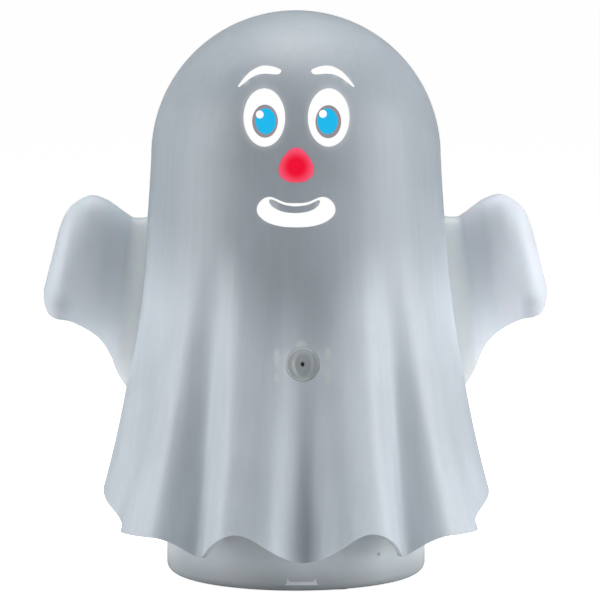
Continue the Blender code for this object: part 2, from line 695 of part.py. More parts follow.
fan_frame = add(
    "fan_frame",
    block((FAN_SIDE, FAN_SIDE, FAN_DEPTH), (0, 0, FAN_DEPTH / 2)),
    INNER_PLASTIC,
    projector_axis,
)
FAN_RIM = 0.0015
FAN_BORE = FAN_SIDE / 2 - FAN_RIM
FAN_FLOOR = 0.0015
HUB_RADIUS = 0.0075
STRUT_WIDTH = 0.0025
AXLE_RADIUS = 0.0015
combine(fan_frame, rod(FAN_BORE, -OVERRUN, FAN_DEPTH + OVERRUN, count=20), "DIFFERENCE", projector_axis)
spider = rod(HUB_RADIUS, 0, FAN_FLOOR)
combine(fan_frame, spider, "UNION", projector_axis)
STRUT_COUNT = 3
for index in range(STRUT_COUNT):
    strut = block(
        (FAN_BORE, STRUT_WIDTH, FAN_FLOOR - CLEARANCE), (HUB_RADIUS / 2 + FAN_BORE / 2, 0, FAN_FLOOR / 2)
    )
    strut.transform(Matrix.Rotation(2 * math.pi * index / STRUT_COUNT + QUARTER, 4, "Z"))
    combine(fan_frame, strut, "UNION", projector_axis)
rotor_low = FAN_FLOOR + CLEARANCE
rotor_high = FAN_DEPTH - CLEARANCE
combine(fan_frame, rod(AXLE_RADIUS, FAN_FLOOR / 2, rotor_high - FAN_FLOOR, count=12), "UNION", projector_axis)

fan_rotor = add("fan_rotor", rod(HUB_RADIUS, rotor_low, rotor_high, count=20), CONTROL, projector_axis)
BLADE_COUNT = 7
BLADE_PITCH = math.radians(38)
BLADE_WIDTH = 0.0085
BLADE_THICKNESS = 0.0010
BLADE_STATIONS = 3
BLADE_ROOT_SHARE = 0.85
BLADE_FLARE_SHARE = 0.25
BLADE_TWIST_SHARE = 0.35


def fan_blade(index):
    """A twisted blade: flatter at the tip, its root sunk in the hub."""
    rings = []
    root = HUB_RADIUS * BLADE_ROOT_SHARE
    tip_half = BLADE_WIDTH * (1 + BLADE_FLARE_SHARE) / 2
    tip = math.sqrt((FAN_BORE - 2 * CLEARANCE) ** 2 - tip_half**2) - CLEARANCE
    for station in range(BLADE_STATIONS):
        share = station / (BLADE_STATIONS - 1)
        radius = root + (tip - root) * share
        pitch = BLADE_PITCH * (1 - share * BLADE_TWIST_SHARE)
        corners = []
        for across, up in ((-1, -1), (1, -1), (1, 1), (-1, 1)):
            flat = across * BLADE_WIDTH * (1 + share * BLADE_FLARE_SHARE) / 2
            thick = up * BLADE_THICKNESS / 2
            y = flat * math.cos(pitch) - thick * math.sin(pitch)
            z = flat * math.sin(pitch) + thick * math.cos(pitch)
            corners.append((radius, y, (rotor_low + rotor_high) / 2 + z))
        rings.append(corners)
    bm = loft(rings)
    bm.transform(Matrix.Rotation(2 * math.pi * index / BLADE_COUNT, 4, "Z"))
    return bm


for index in range(BLADE_COUNT):
    combine(fan_rotor, fan_blade(index), "UNION", projector_axis)
axle_bore = rod(AXLE_RADIUS + CLEARANCE, 0, rotor_high - FAN_FLOOR + CLEARANCE, count=12)
combine(fan_rotor, axle_bore, "DIFFERENCE", projector_axis)

sink_plate = block((ENGINE_SIDE, ENGINE_SIDE, SINK_PLATE), (0, 0, plate_low + SINK_PLATE / 2))
heat_sink = add("heat_sink", sink_plate, ALUMINIUM, projector_axis)
fins = bmesh.new()
for index in range(FIN_COUNT):
    x = (2 * index / (FIN_COUNT - 1) - 1) * (FAN_SIDE - FIN_THICKNESS) / 2
    fin_size = (FIN_THICKNESS, FAN_SIDE, FIN_HEIGHT + SINK_PLATE / 2)
    block(fin_size, (x, 0, sink_low + fin_size[2] / 2), fins)
combine(heat_sink, fins, "UNION", projector_axis)
LED_SIDE = 0.020
LED_THICKNESS = 0.0016
LED_DOME = 0.003
led_low = plate_low + SINK_PLATE + CLEARANCE
led_blank = block((LED_SIDE, LED_SIDE, LED_THICKNESS), (0, 0, led_low + LED_THICKNESS / 2))
led_board = add("led_board", led_blank, BOARD, projector_axis)
dome_profile = [(0, led_low + LED_THICKNESS / 2), (LED_DOME, led_low + LED_THICKNESS / 2)]
dome_profile += arc((0, led_low + LED_THICKNESS), LED_DOME, 0, 1, 4)
dome = turned([(max(0, radius) if radius > MERGE else 0, z) for radius, z in dome_profile], 16)
combine(led_board, dome, "UNION", projector_axis)

cavity_side = ENGINE_SIDE - 2 * ENGINE_WALL
housing_middle = (0, 0, housing_low + HOUSING_LENGTH / 2)
housing_blank = block((ENGINE_SIDE, ENGINE_SIDE, HOUSING_LENGTH), housing_middle)
projector_housing = add("projector_housing", housing_blank, INNER_PLASTIC, projector_axis)
mount_tube = rod(MOUNT_RADIUS, housing_high - ENGINE_WALL / 2, housing_high + MOUNT_LENGTH, count=24)
combine(projector_housing, mount_tube, "UNION", projector_axis)
hollow_length = HOUSING_LENGTH - ENGINE_WALL + OVERRUN
hollow_middle = (0, 0, housing_low - OVERRUN + hollow_length / 2)
combine(
    projector_housing,
    block((cavity_side, cavity_side, hollow_length), hollow_middle),
    "DIFFERENCE",
    projector_axis,
)
mount_bore = rod(
    MOUNT_BORE, housing_high - HOUSING_LENGTH / 2, housing_high + MOUNT_LENGTH + OVERRUN, count=24
)
combine(projector_housing, mount_bore, "DIFFERENCE", projector_axis)

CONDENSER_PLACE_SHARE = 0.42
LCD_PLACE_SHARE = 0.72
CONDENSER_EDGE = 0.0025
CONDENSER_CROWN = 0.0035
condenser_radius = cavity_side / 2 - CLEARANCE


def lens_profile(radius, middle, edge, crown):
    """A biconvex lens on its axis, with three chords to each face."""
    shares = [step / 3 for step in range(4)]
    upper = [(radius * share, middle + edge / 2 + crown * (1 - share**2)) for share in shares]
    lower = [(radius * share, middle - edge / 2 - crown * (1 - share**2)) for share in shares]
    return lower + upper[::-1]


condenser_middle = housing_low + HOUSING_LENGTH * CONDENSER_PLACE_SHARE
condenser = lens_profile(condenser_radius, condenser_middle, CONDENSER_EDGE, CONDENSER_CROWN)
add("condenser_lens", turned(condenser, 12), LENS, projector_axis)
LCD_THICKNESS = 0.002
lcd_side = cavity_side - 2 * CLEARANCE
lcd_middle = housing_low + HOUSING_LENGTH * LCD_PLACE_SHARE
add("lcd_panel", block((lcd_side, lcd_side, LCD_THICKNESS), (0, 0, lcd_middle)), LENS, projector_axis)

barrel_radius = MOUNT_BORE - CLEARANCE
barrel_bore = barrel_radius - BARREL_WALL
barrel_low = housing_high + OVERRUN
barrel_high = barrel_low + BARREL_LENGTH
barrel_profile = [
    (barrel_bore - BARREL_WALL / 2, barrel_low),
    (barrel_radius, barrel_low),
    (barrel_radius, barrel_high),
    (barrel_bore, barrel_high),
    (barrel_bore, barrel_low + BARREL_LENGTH / 2),
    (barrel_bore - BARREL_WALL / 2, barrel_low + BARREL_LENGTH / 2),
]
add("lens_barrel", turned(barrel_profile, 16), CONTROL, projector_axis)
lens_edge = BARREL_WALL
lens_crown = BARREL_WALL
lens_middle = barrel_low + BARREL_LENGTH / 2 + CLEARANCE + lens_edge / 2
lens = lens_profile(barrel_bore - CLEARANCE, lens_middle, lens_edge, lens_crown)
add("projection_lens", turned(lens, 12), LENS, projector_axis)

FOCUS_HEIGHT = 0.007
FOCUS_RADIUS = 0.0172
FOCUS_LOBES = 8
FOCUS_LOBE_DEPTH = 0.0009
focus_low = housing_high + MOUNT_LENGTH + CLEARANCE
focus_turn = [2 * math.pi * step / (4 * FOCUS_LOBES) for step in range(4 * FOCUS_LOBES)]
focus_outline = []
for turn in focus_turn:
    radius = FOCUS_RADIUS + FOCUS_LOBE_DEPTH * math.cos(FOCUS_LOBES * turn)
    focus_outline.append(around(turn, radius))
focus_ring = add(
    "focus_ring", prism(focus_outline, focus_low, focus_low + FOCUS_HEIGHT), CONTROL, projector_axis
)
focus_bore = rod(barrel_radius + CLEARANCE, focus_low - OVERRUN, focus_low + FOCUS_HEIGHT + OVERRUN, count=20)
combine(focus_ring, focus_bore, "DIFFERENCE", projector_axis)

# Cradle: a foot on the deck with two cheeks that grip the housing's sides
cheek_inner = ENGINE_SIDE / 2 + CLEARANCE
CHEEK_TOP_SHARE = 0.6
CRADLE_FRONT = -0.014
CRADLE_REAR = 0.048
cradle_depth = CRADLE_REAR - CRADLE_FRONT
foot_centre = (0, (CRADLE_FRONT + CRADLE_REAR) / 2, cradle_low + CRADLE_THICKNESS / 2)
cradle_foot = block((2 * CRADLE_HALF, cradle_depth, CRADLE_THICKNESS), foot_centre)
projector_cradle = add("projector_cradle", cradle_foot, INNER_PLASTIC)


def along_projector(across, along):
    """World (y, z) of a point given across and along the projector's axis."""
    y = PROJECTOR_BACK + across * math.cos(TILT) - along * math.sin(TILT)
    z = axis_low + across * math.sin(TILT) + along * math.cos(TILT)
    return (y, z)


cheek_half = FAN_SIDE / 2
cheek_outline = [
    (CRADLE_FRONT + OVERRUN, cradle_low + CLEARANCE),
    (CRADLE_REAR - OVERRUN, cradle_low + CLEARANCE),
    along_projector(cheek_half, housing_low),
    along_projector(cheek_half * CHEEK_TOP_SHARE, housing_high - ENGINE_WALL),
    along_projector(-cheek_half * CHEEK_TOP_SHARE, housing_high - ENGINE_WALL),
    along_projector(-cheek_half, housing_low + HOUSING_LENGTH / 3),
]
for side in (-1, 1):
    cheek = across_body(cheek_outline, side, cheek_inner, cheek_inner + CRADLE_THICKNESS)
    combine(projector_cradle, cheek, "UNION")
cradle_cuts = rod(VENT_RADIUS, cradle_low - OVERRUN, cradle_low + 2 * CRADLE_THICKNESS, VENT_PLACE, 20)
for place in CRADLE_SCREWS:
    rod(
        SCREW_RADIUS + CLEARANCE,
        cradle_low - OVERRUN,
        cradle_low + 2 * CRADLE_THICKNESS,
        place,
        8,
        cradle_cuts,
    )
combine(projector_cradle, cradle_cuts, "DIFFERENCE")
CRADLE_SCREW_LENGTH = 0.005
for number, (x, y) in enumerate(CRADLE_SCREWS, 1):
    spot = axis_empty(
        f"cradle_screw_axis_{number}", (x, y, cradle_low + CRADLE_THICKNESS + CLEARANCE), math.pi
    )
    screw(f"cradle_screw_{number}", (0, 0, 0), CRADLE_SCREW_LENGTH, spot, SMALL_HEAD_RADIUS)


# Speaker: fires down through the plate's slots, seated in a ring on the plate
SPEAKER_FLANGE = 0.0015
SPEAKER_DEPTH = 0.012
MAGNET_RADIUS = 0.009
MAGNET_HEIGHT = 0.007
CONE_THICKNESS = 0.0008
speaker = axis_empty("speaker_axis", (SPEAKER_X, SPEAKER_Y, PLATE_TOP + CLEARANCE))
frame_inner = SPEAKER_RADIUS - 2 * SPEAKER_FLANGE
frame_profile = [
    (frame_inner, 0),
    (SPEAKER_RADIUS, 0),
    (SPEAKER_RADIUS, SPEAKER_FLANGE),
    (SPEAKER_RADIUS - SPEAKER_FLANGE / 2, SPEAKER_FLANGE),
    (MAGNET_RADIUS + SPEAKER_FLANGE, SPEAKER_DEPTH),
    (MAGNET_RADIUS / 2, SPEAKER_DEPTH),
    (MAGNET_RADIUS / 2, SPEAKER_DEPTH - SPEAKER_FLANGE),
    (MAGNET_RADIUS, SPEAKER_DEPTH - SPEAKER_FLANGE),
    (frame_inner, SPEAKER_FLANGE),
]
add("speaker_frame", turned(frame_profile, 12), STEEL, speaker)
magnet_low = SPEAKER_DEPTH + CLEARANCE
add(
    "speaker_magnet",
    rod(MAGNET_RADIUS, magnet_low, magnet_low + MAGNET_HEIGHT, count=24),
    INNER_PLASTIC,
    speaker,
)
cone_rim = frame_inner - CLEARANCE
cone_profile = [
    (0, SPEAKER_DEPTH / 2),
    (MAGNET_RADIUS / 2, SPEAKER_DEPTH / 2),
    (cone_rim, CLEARANCE),
    (cone_rim, CLEARANCE + CONE_THICKNESS),
    (MAGNET_RADIUS / 2, SPEAKER_DEPTH / 2 + CONE_THICKNESS),
    (0, SPEAKER_DEPTH / 2 + CONE_THICKNESS),
]
add("speaker_cone", turned(cone_profile, 12), PAPER, speaker)


# Main board: hangs from two deck posts above the speaker
BOARD_THICKNESS = 0.0016
MAIN_BOARD_WIDTH = 0.068
MAIN_BOARD_DEPTH = 0.046
CHIP_SIDE = 0.014
CHIP_HEIGHT = 0.0022
board_middle = (0, BOARD_POST_Y, MAIN_BOARD_TOP - BOARD_THICKNESS / 2)
main_board = add(
    "main_board", block((MAIN_BOARD_WIDTH, MAIN_BOARD_DEPTH, BOARD_THICKNESS), board_middle), BOARD
)
chip_middle = (0, BOARD_POST_Y, MAIN_BOARD_TOP - BOARD_THICKNESS - CHIP_HEIGHT / 3)
chips = block((CHIP_SIDE, CHIP_SIDE, CHIP_HEIGHT), chip_middle)
combine(main_board, chips, "UNION")
board_holes = bmesh.new()
for place in BOARD_POSTS:
    rod(
        SCREW_RADIUS + CLEARANCE,
        MAIN_BOARD_TOP - 2 * BOARD_THICKNESS,
        MAIN_BOARD_TOP + OVERRUN,
        place,
        8,
        board_holes,
    )
combine(main_board, board_holes, "DIFFERENCE")
for number, place in enumerate(BOARD_POSTS, 1):
    under = MAIN_BOARD_TOP - BOARD_THICKNESS - CLEARANCE
    screw(f"board_screw_{number}", (*place, under), BOARD_SCREW_LENGTH)


# Controls: a flat panel in the back of the drum, with its board behind it
JACK_X = -0.0162
SWITCH_X = -0.0066
BUTTON_X = 0.0034
WHEEL_X = 0.0150
JACK_RADIUS = 0.0040
JACK_WIDTH = 0.0088
JACK_HEIGHT = 0.0096
PANEL_GAP = 0.0105
CONTROL_BOARD_WIDTH = 0.046
CONTROL_BOARD_HEIGHT = 0.022
SLIDER_TRAVEL = 0.004
KNOB_WIDTH = 0.0035
KNOB_HEIGHT = 0.0028
SWITCH_WIDTH = 0.0092
SWITCH_HEIGHT = 0.0045
SWITCH_DEPTH = 0.006
BUTTON_RADIUS = 0.0030
BUTTON_TRAVEL = 0.0010
BUTTON_PROUD = 0.0018
SWITCH_BODY = 0.006
PLUNGER_RADIUS = 0.0015
WHEEL_RADIUS = 0.0070
WHEEL_THICKNESS = 0.0030
WHEEL_SINK = 0.0052
panel_front = PANEL_SEAT - CLEARANCE
panel_back = panel_front - PANEL_THICKNESS
panel = axis_empty("panel_axis", (0, panel_front, PANEL_MIDDLE), -QUARTER)


def chord(y):
    """Half width between the drum's inner walls at a depth, inside the flats of its steps."""
    return math.sqrt((DRUM_BORE * math.cos(math.pi / DRUM_STEPS) - CLEARANCE) ** 2 - y**2)


panel_outline = [
    (-chord(panel_front), panel_front),
    (-chord(panel_back), panel_back),
    (chord(panel_back), panel_back),
    (chord(panel_front), panel_front),
]
panel_blank = prism(panel_outline, LEDGE_TOP + DRUM_WALL, PANEL_HIGH + DRUM_WALL)
control_panel = add("control_panel", panel_blank, BASE_PLASTIC)
board_front = -PANEL_THICKNESS - PANEL_GAP
PANEL_POST_X = 0.0180
PANEL_POST_Z = -0.0080
PANEL_POST_RADIUS = 0.0022
panel_posts = bmesh.new()
for side in (-1, 1):
    place = (side * PANEL_POST_X, PANEL_POST_Z)
    rod(PANEL_POST_RADIUS, board_front + CLEARANCE, -PANEL_THICKNESS / 2, place, 8, panel_posts)
combine(control_panel, panel_posts, "UNION", panel)
panel_cuts = rod(JACK_RADIUS + CLEARANCE, -2 * PANEL_THICKNESS, OVERRUN, (JACK_X, 0), 20)
slot_length = SLIDER_TRAVEL + KNOB_WIDTH + 2 * CLEARANCE
slot_size = (slot_length, KNOB_HEIGHT + 2 * CLEARANCE, 4 * PANEL_THICKNESS)
block(slot_size, (SWITCH_X, 0, 0), panel_cuts)
rod(BUTTON_RADIUS + CLEARANCE, -2 * PANEL_THICKNESS, OVERRUN, (BUTTON_X, 0), 20, panel_cuts)
wheel_opening = 2 * (CLEARANCE + math.sqrt(WHEEL_RADIUS**2 - (WHEEL_SINK - PANEL_THICKNESS) ** 2))
block((wheel_opening, WHEEL_THICKNESS + 2 * CLEARANCE, 4 * PANEL_THICKNESS), (WHEEL_X, 0, 0), panel_cuts)
combine(control_panel, panel_cuts, "DIFFERENCE", panel)

control_size = (CONTROL_BOARD_WIDTH, CONTROL_BOARD_HEIGHT, BOARD_THICKNESS)
add("control_board", block(control_size, (0, 0, board_front - BOARD_THICKNESS / 2)), BOARD, panel)
jack_depth = PANEL_GAP - 2 * CLEARANCE
jack_size = (JACK_WIDTH, JACK_HEIGHT, jack_depth)
dc_jack = add(
    "dc_jack", block(jack_size, (JACK_X, 0, board_front + CLEARANCE + jack_depth / 2)), CONTROL, panel
)
jack_nose = rod(JACK_RADIUS, board_front + jack_depth / 2, -CLEARANCE, (JACK_X, 0), 20)
combine(dc_jack, jack_nose, "UNION", panel)
JACK_BORE = 0.0028
JACK_PIN = 0.0009
jack_floor = board_front + jack_depth / 2
combine(dc_jack, rod(JACK_BORE, jack_floor, OVERRUN, (JACK_X, 0), 16), "DIFFERENCE", panel)
jack_pin = rod(JACK_PIN, jack_floor - JACK_PIN, -JACK_BORE / 2, (JACK_X, 0), 8)
combine(dc_jack, jack_pin, "UNION", panel)

switch_middle = (SWITCH_X, 0, board_front + CLEARANCE + SWITCH_DEPTH / 2)
power_switch = add(
    "power_switch", block((SWITCH_WIDTH, SWITCH_HEIGHT, SWITCH_DEPTH), switch_middle), STEEL, panel
)
knob_low = board_front + CLEARANCE + SWITCH_DEPTH + CLEARANCE
KNOB_PROUD = 0.0012
knob_length = KNOB_PROUD - knob_low
knob_start = SWITCH_X - SLIDER_TRAVEL / 2
knob_middle = (0, 0, (knob_low + KNOB_PROUD) / 2)
knob = block((KNOB_WIDTH, KNOB_HEIGHT, knob_length), knob_middle)
add("power_slider", knob, CONTROL, panel, (knob_start, 0, 0))

tact_low = board_front + CLEARANCE
tact = block((SWITCH_BODY, SWITCH_BODY, SWITCH_BODY / 2), (BUTTON_X, 0, tact_low + SWITCH_BODY / 4))
button_switch = add("button_switch", tact, CONTROL, panel)
plunger_high = tact_low + SWITCH_BODY / 2 + BUTTON_TRAVEL
combine(button_switch, rod(PLUNGER_RADIUS, tact_low, plunger_high, (BUTTON_X, 0), 10), "UNION", panel)
button_low = plunger_high + CLEARANCE + BUTTON_TRAVEL
BUTTON_COLLAR = 0.0012
button_profile = [
    (0, button_low),
    (BUTTON_RADIUS + BUTTON_COLLAR, button_low),
    (BUTTON_RADIUS + BUTTON_COLLAR, button_low + BUTTON_COLLAR),
    (BUTTON_RADIUS, button_low + BUTTON_COLLAR),
    (BUTTON_RADIUS, BUTTON_PROUD - CLEARANCE),
    (BUTTON_RADIUS - CLEARANCE, BUTTON_PROUD),
    (0, BUTTON_PROUD),
]
add("mode_button", turned(button_profile, 12), CONTROL, panel, (BUTTON_X, 0, 0))

# Volume wheel: lies flat, its edge reaching out through a slot, on a stub of the pot
WHEEL_NOTCHES = 14
WHEEL_NOTCH_DEPTH = 0.0004
wheel_y = panel_front - WHEEL_SINK
wheel_axis = axis_empty("wheel_axis", (WHEEL_X, wheel_y, PANEL_MIDDLE))
wheel_turn = [2 * math.pi * step / (2 * WHEEL_NOTCHES) for step in range(2 * WHEEL_NOTCHES)]
wheel_outline = []
for step, turn in enumerate(wheel_turn):
    wheel_outline.append(around(turn, WHEEL_RADIUS - WHEEL_NOTCH_DEPTH * (step % 2)))
wheel_half = WHEEL_THICKNESS / 2
volume_wheel = add("volume_wheel", prism(wheel_outline, -wheel_half, wheel_half), CONTROL, wheel_axis)
SPINDLE_RADIUS = 0.0018
spindle_bore = rod(SPINDLE_RADIUS + CLEARANCE, -WHEEL_THICKNESS, wheel_half - BARREL_WALL / 2, count=12)
combine(volume_wheel, spindle_bore, "DIFFERENCE", wheel_axis)
POT_WIDTH = 0.009
POT_HEIGHT = 0.0045
pot_top = -wheel_half - CLEARANCE
pot_rear = wheel_y - (panel_front + board_front + CLEARANCE)
pot_front = WHEEL_SINK - PANEL_THICKNESS - CLEARANCE
pot_middle = (0, (pot_front - pot_rear) / 2, pot_top - POT_HEIGHT / 2)
pot_blank = block((POT_WIDTH, pot_front + pot_rear, POT_HEIGHT), pot_middle)
volume_pot = add("volume_pot", pot_blank, STEEL, wheel_axis)
spindle = rod(SPINDLE_RADIUS, pot_top - POT_HEIGHT / 2, wheel_half - BARREL_WALL / 2 - CLEARANCE, count=12)
combine(volume_pot, spindle, "UNION", wheel_axis)


# Chest sensor: a dish with a pinhole in a round opening of the front shell, held by a bracket inside
SENSOR_HEIGHT = 0.1335
SENSOR_RADIUS = 0.0100
DISH_RADIUS = 0.0072
DISH_DEPTH = 0.0024
PINHOLE_RADIUS = 0.0010
SENSOR_PROUD = 0.0005
SENSOR_FLANGE = 0.0124
SENSOR_FLANGE_THICKNESS = 0.0015
TAB_X = 0.0148
BRACKET_THICKNESS = 0.002
BRACKET_HALF_WIDTH = 0.0185
BRACKET_HALF_HEIGHT = 0.0075
CAPSULE_RADIUS = 0.003
SENSOR_SCREW_LENGTH = 0.008
sensor_face = float(body_radius(np.array(0.0), np.array(SENSOR_HEIGHT))) + SENSOR_PROUD
wall_above = float(body_radius(np.array(0.0), np.array(SENSOR_HEIGHT + SENSOR_FLANGE)))
flange_front = sensor_face - (wall_above - SHELL_WALL - 2 * CLEARANCE)
sensor = axis_empty("sensor_axis", (0, -sensor_face, SENSOR_HEIGHT), QUARTER)
flange_back = flange_front + SENSOR_FLANGE_THICKNESS
EDGE_ROUND = 0.0008
dish = [
    (PINHOLE_RADIUS, -DISH_DEPTH), (DISH_RADIUS - 2 * EDGE_ROUND, -DISH_DEPTH), (DISH_RADIUS, -EDGE_ROUND)
]
rim = [(DISH_RADIUS + EDGE_ROUND, 0), (SENSOR_RADIUS - EDGE_ROUND, 0), (SENSOR_RADIUS, -EDGE_ROUND)]
flange = [(SENSOR_RADIUS, -flange_front), (SENSOR_FLANGE, -flange_front), (SENSOR_FLANGE, -flange_back)]
capsule_seat = CAPSULE_RADIUS + CLEARANCE
capsule_front = DISH_DEPTH + EDGE_ROUND
back = [(capsule_seat, -flange_back), (capsule_seat, -capsule_front), (PINHOLE_RADIUS, -capsule_front)]
add("sensor_cup", turned(dish + rim + flange + back, 16), BASE_PLASTIC, sensor)
hole = rod(SENSOR_RADIUS + CLEARANCE, -flange_back - OVERRUN, SENSOR_RADIUS, count=24)
combine(front_shell, hole, "DIFFERENCE", sensor)

bracket_front = flange_back + CLEARANCE
bracket_back = bracket_front + BRACKET_THICKNESS
corner = BRACKET_HALF_HEIGHT
bracket_outline = arc((BRACKET_HALF_WIDTH - corner, 0), corner, -1, 1, 6)
bracket_outline += [(-x, -y) for x, y in bracket_outline]
sensor_bracket = add(
    "sensor_bracket", prism(bracket_outline, -bracket_back, -bracket_front), BASE_PLASTIC, sensor
)
bracket_cuts = rod(capsule_seat, -bracket_back - OVERRUN, -bracket_front + OVERRUN, count=12)
for side in (-1, 1):
    rod(
        SCREW_RADIUS + CLEARANCE,
        -bracket_back - OVERRUN,
        -bracket_front + OVERRUN,
        (side * TAB_X, 0),
        8,
        bracket_cuts,
    )
combine(sensor_bracket, bracket_cuts, "DIFFERENCE", sensor)
sensor_board_front = bracket_back + CLEARANCE
sensor_board_back = sensor_board_front + BOARD_THICKNESS
sensor_board = add(
    "sensor_board", prism(bracket_outline, -sensor_board_back, -sensor_board_front), BOARD, sensor
)
sensor_holes = bmesh.new()
for side in (-1, 1):
    ends = (-sensor_board_back - OVERRUN, -sensor_board_front + OVERRUN)
    rod(SCREW_RADIUS + CLEARANCE, *ends, (side * TAB_X, 0), 8, sensor_holes)
combine(sensor_board, sensor_holes, "DIFFERENCE", sensor)
capsule_low = -sensor_board_front + CLEARANCE
add(
    "sensor_capsule",
    rod(CAPSULE_RADIUS, capsule_low, -capsule_front - CLEARANCE, count=16),
    ALUMINIUM,
    sensor,
)
BOSS_SINK = 0.0005
SENSOR_BOSS_RADIUS = 0.0024
tab_angle = TAB_X / sensor_face
tab_wall = float(body_radius(np.array(tab_angle), np.array(SENSOR_HEIGHT)))
boss_face = math.sqrt((tab_wall - SHELL_WALL) ** 2 - TAB_X**2) + BOSS_SINK - sensor_face
pilot_end = boss_face - 2 * BOSS_SINK
for side in (-1, 1):
    place = (side * TAB_X, 0)
    combine(
        front_shell,
        rod(SENSOR_BOSS_RADIUS, -bracket_front + CLEARANCE, boss_face, place, 10),
        "UNION",
        sensor,
    )
    combine(front_shell, rod(PILOT_RADIUS, -bracket_back, pilot_end, place, 8), "DIFFERENCE", sensor)
sensor_screw_length = min(SENSOR_SCREW_LENGTH, sensor_board_back + pilot_end - CLEARANCE)
for number, side in enumerate((-1, 1), 1):
    seat = (side * TAB_X, 0, -sensor_board_back - CLEARANCE)
    screw(f"sensor_screw_{number}", seat, sensor_screw_length, sensor, SMALL_HEAD_RADIUS)
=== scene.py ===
import json
import math

import bmesh
import bpy
import numpy as np
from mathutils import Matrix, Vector
from mathutils.geometry import delaunay_2d_cdt


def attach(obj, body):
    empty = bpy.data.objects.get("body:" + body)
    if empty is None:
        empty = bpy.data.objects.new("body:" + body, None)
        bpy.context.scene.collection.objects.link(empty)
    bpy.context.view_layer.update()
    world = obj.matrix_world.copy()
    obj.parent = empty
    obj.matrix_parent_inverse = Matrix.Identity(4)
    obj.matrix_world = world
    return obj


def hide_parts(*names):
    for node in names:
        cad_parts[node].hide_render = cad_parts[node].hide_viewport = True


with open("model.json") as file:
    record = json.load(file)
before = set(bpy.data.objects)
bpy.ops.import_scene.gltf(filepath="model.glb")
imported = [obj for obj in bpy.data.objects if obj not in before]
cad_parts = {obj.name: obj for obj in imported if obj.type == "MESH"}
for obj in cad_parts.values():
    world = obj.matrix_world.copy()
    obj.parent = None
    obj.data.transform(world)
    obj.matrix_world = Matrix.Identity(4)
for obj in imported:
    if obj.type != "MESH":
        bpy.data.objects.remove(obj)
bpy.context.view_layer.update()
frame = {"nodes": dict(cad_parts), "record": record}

# Body of the ghost: two blow-moulded halves of frosted polythene, 2.2 mm thick, which meet down both
# sides. A dome runs into a skirt that flares in nine folds, with narrow valleys and broad ridges,
# and ends in a scalloped hem.
HEIGHT = 0.330
DOME_RADIUS = 0.0844
SHOULDER = HEIGHT - DOME_RADIUS
HEM_RADIUS = 0.1128
HEM_HEIGHT = 0.0397
HEM_DROP = 0.0177
WALL = 0.0022
SEAM = 0.0003
FOLDS = 9
FOLD_DEPTH = 0.020
FOLD_TOP = 0.205
FOLD_GROWTH = 1.25
FOLD_SHARPNESS = 2.0
GATHER = 0.18
SIDE_BUNCH = math.pi / 2
SIDE_HEM_SPAN = (37, 52)
SIDE_FOLD_SPAN = (50, 66)
SIDE_CORNER = math.sin(math.radians(67))
SIDE_HEM = 0.0330
SIDE_HEM_CURVE = 1.6
SIDE_HEM_RISE = 0.0180
SIDE_BULGE = 0.033
SIDE_EASE = 0.50
FLARE = 0.36
DOME_ROWS = 44
SKIRT_ROWS = 110
HALF_COLUMNS = 180
NORMAL_STEP = 0.0005
DOUBLE = 0.000001
SHARP_ANGLE = math.radians(40)


def fold_phase(theta):
    """Nine turns round the body, run ahead at the sides by a quarter turn of sin^3."""
    return FOLDS * theta + SIDE_BUNCH * np.sin(theta) ** 3


def side_share(theta, span):
    """0 in front and behind, 1 at the two sides: a smooth step between two bearings in degrees."""
    low, high = np.sin(np.radians(span))
    share = np.clip((np.abs(np.sin(theta)) - low) / (high - low), 0, 1)
    return share**2 * (3 - 2 * share)


def hem_height(theta):
    """High under a ridge and low under a valley, with a straight slope up to the middle at the sides."""
    waved = HEM_HEIGHT - HEM_DROP * (1 + np.cos(fold_phase(theta))) / 2
    rise = np.clip((np.abs(np.sin(theta)) - SIDE_CORNER) / (1 - SIDE_CORNER), 0, 1)
    slope = SIDE_HEM + SIDE_HEM_RISE * rise**SIDE_HEM_CURVE
    return waved + side_share(theta, SIDE_HEM_SPAN) * (slope - waved)


def body_radius(theta, z):
    """Ridge line R(z), a flare of linear and square terms, less a valley ((1 + cos phase) / 2)^p.

    The phase is drawn together at the front where the folds begin. The sides bulge a little towards
    the hem, and their valleys are shallow.
    """
    below = np.clip((SHOULDER - z) / (SHOULDER - HEM_HEIGHT), 0, None)
    ridge = DOME_RADIUS + (HEM_RADIUS - DOME_RADIUS) * (FLARE * below + (1 - FLARE) * below**2)
    side = side_share(theta, SIDE_FOLD_SPAN)
    ridge = ridge * (1 + SIDE_BULGE * side * below**4)
    growth = np.clip((FOLD_TOP - z) / (FOLD_TOP - HEM_HEIGHT + HEM_DROP), 0, 1)
    phase = fold_phase(theta) + FOLDS * GATHER * (1 - growth) * np.sin(theta)
    valley = ((1 + np.cos(phase)) / 2) ** FOLD_SHARPNESS
    depth = FOLD_DEPTH * (1 - SIDE_EASE * side)
    return ridge - depth * growth**FOLD_GROWTH * valley


def body_point(theta, row):
    """Row 0 to 1 is the dome, a quarter circle; row 1 to 2 is the skirt, down to the scalloped hem."""
    fall = np.clip(row, 0, 1) * math.pi / 2
    z = SHOULDER + DOME_RADIUS * np.cos(fall) - (SHOULDER - hem_height(theta)) * np.clip(row - 1, 0, 1)
    radius = np.where(row < 1, DOME_RADIUS * np.sin(fall), body_radius(theta, z))
    return np.stack([radius * np.sin(theta), -radius * np.cos(theta), z + 0 * theta], axis=-1)


def body_normal(theta, row):
    """Unit normal: the cross product of small steps along the row and round the body."""
    step = NORMAL_STEP
    low = np.clip(row - step, step, 2 - 2 * step)
    down = body_point(theta, low + 2 * step) - body_point(theta, low)
    around = body_point(theta + step, low + step) - body_point(theta - step, low + step)
    normal = np.cross(down, around)
    return normal / np.linalg.norm(normal, axis=-1, keepdims=True)


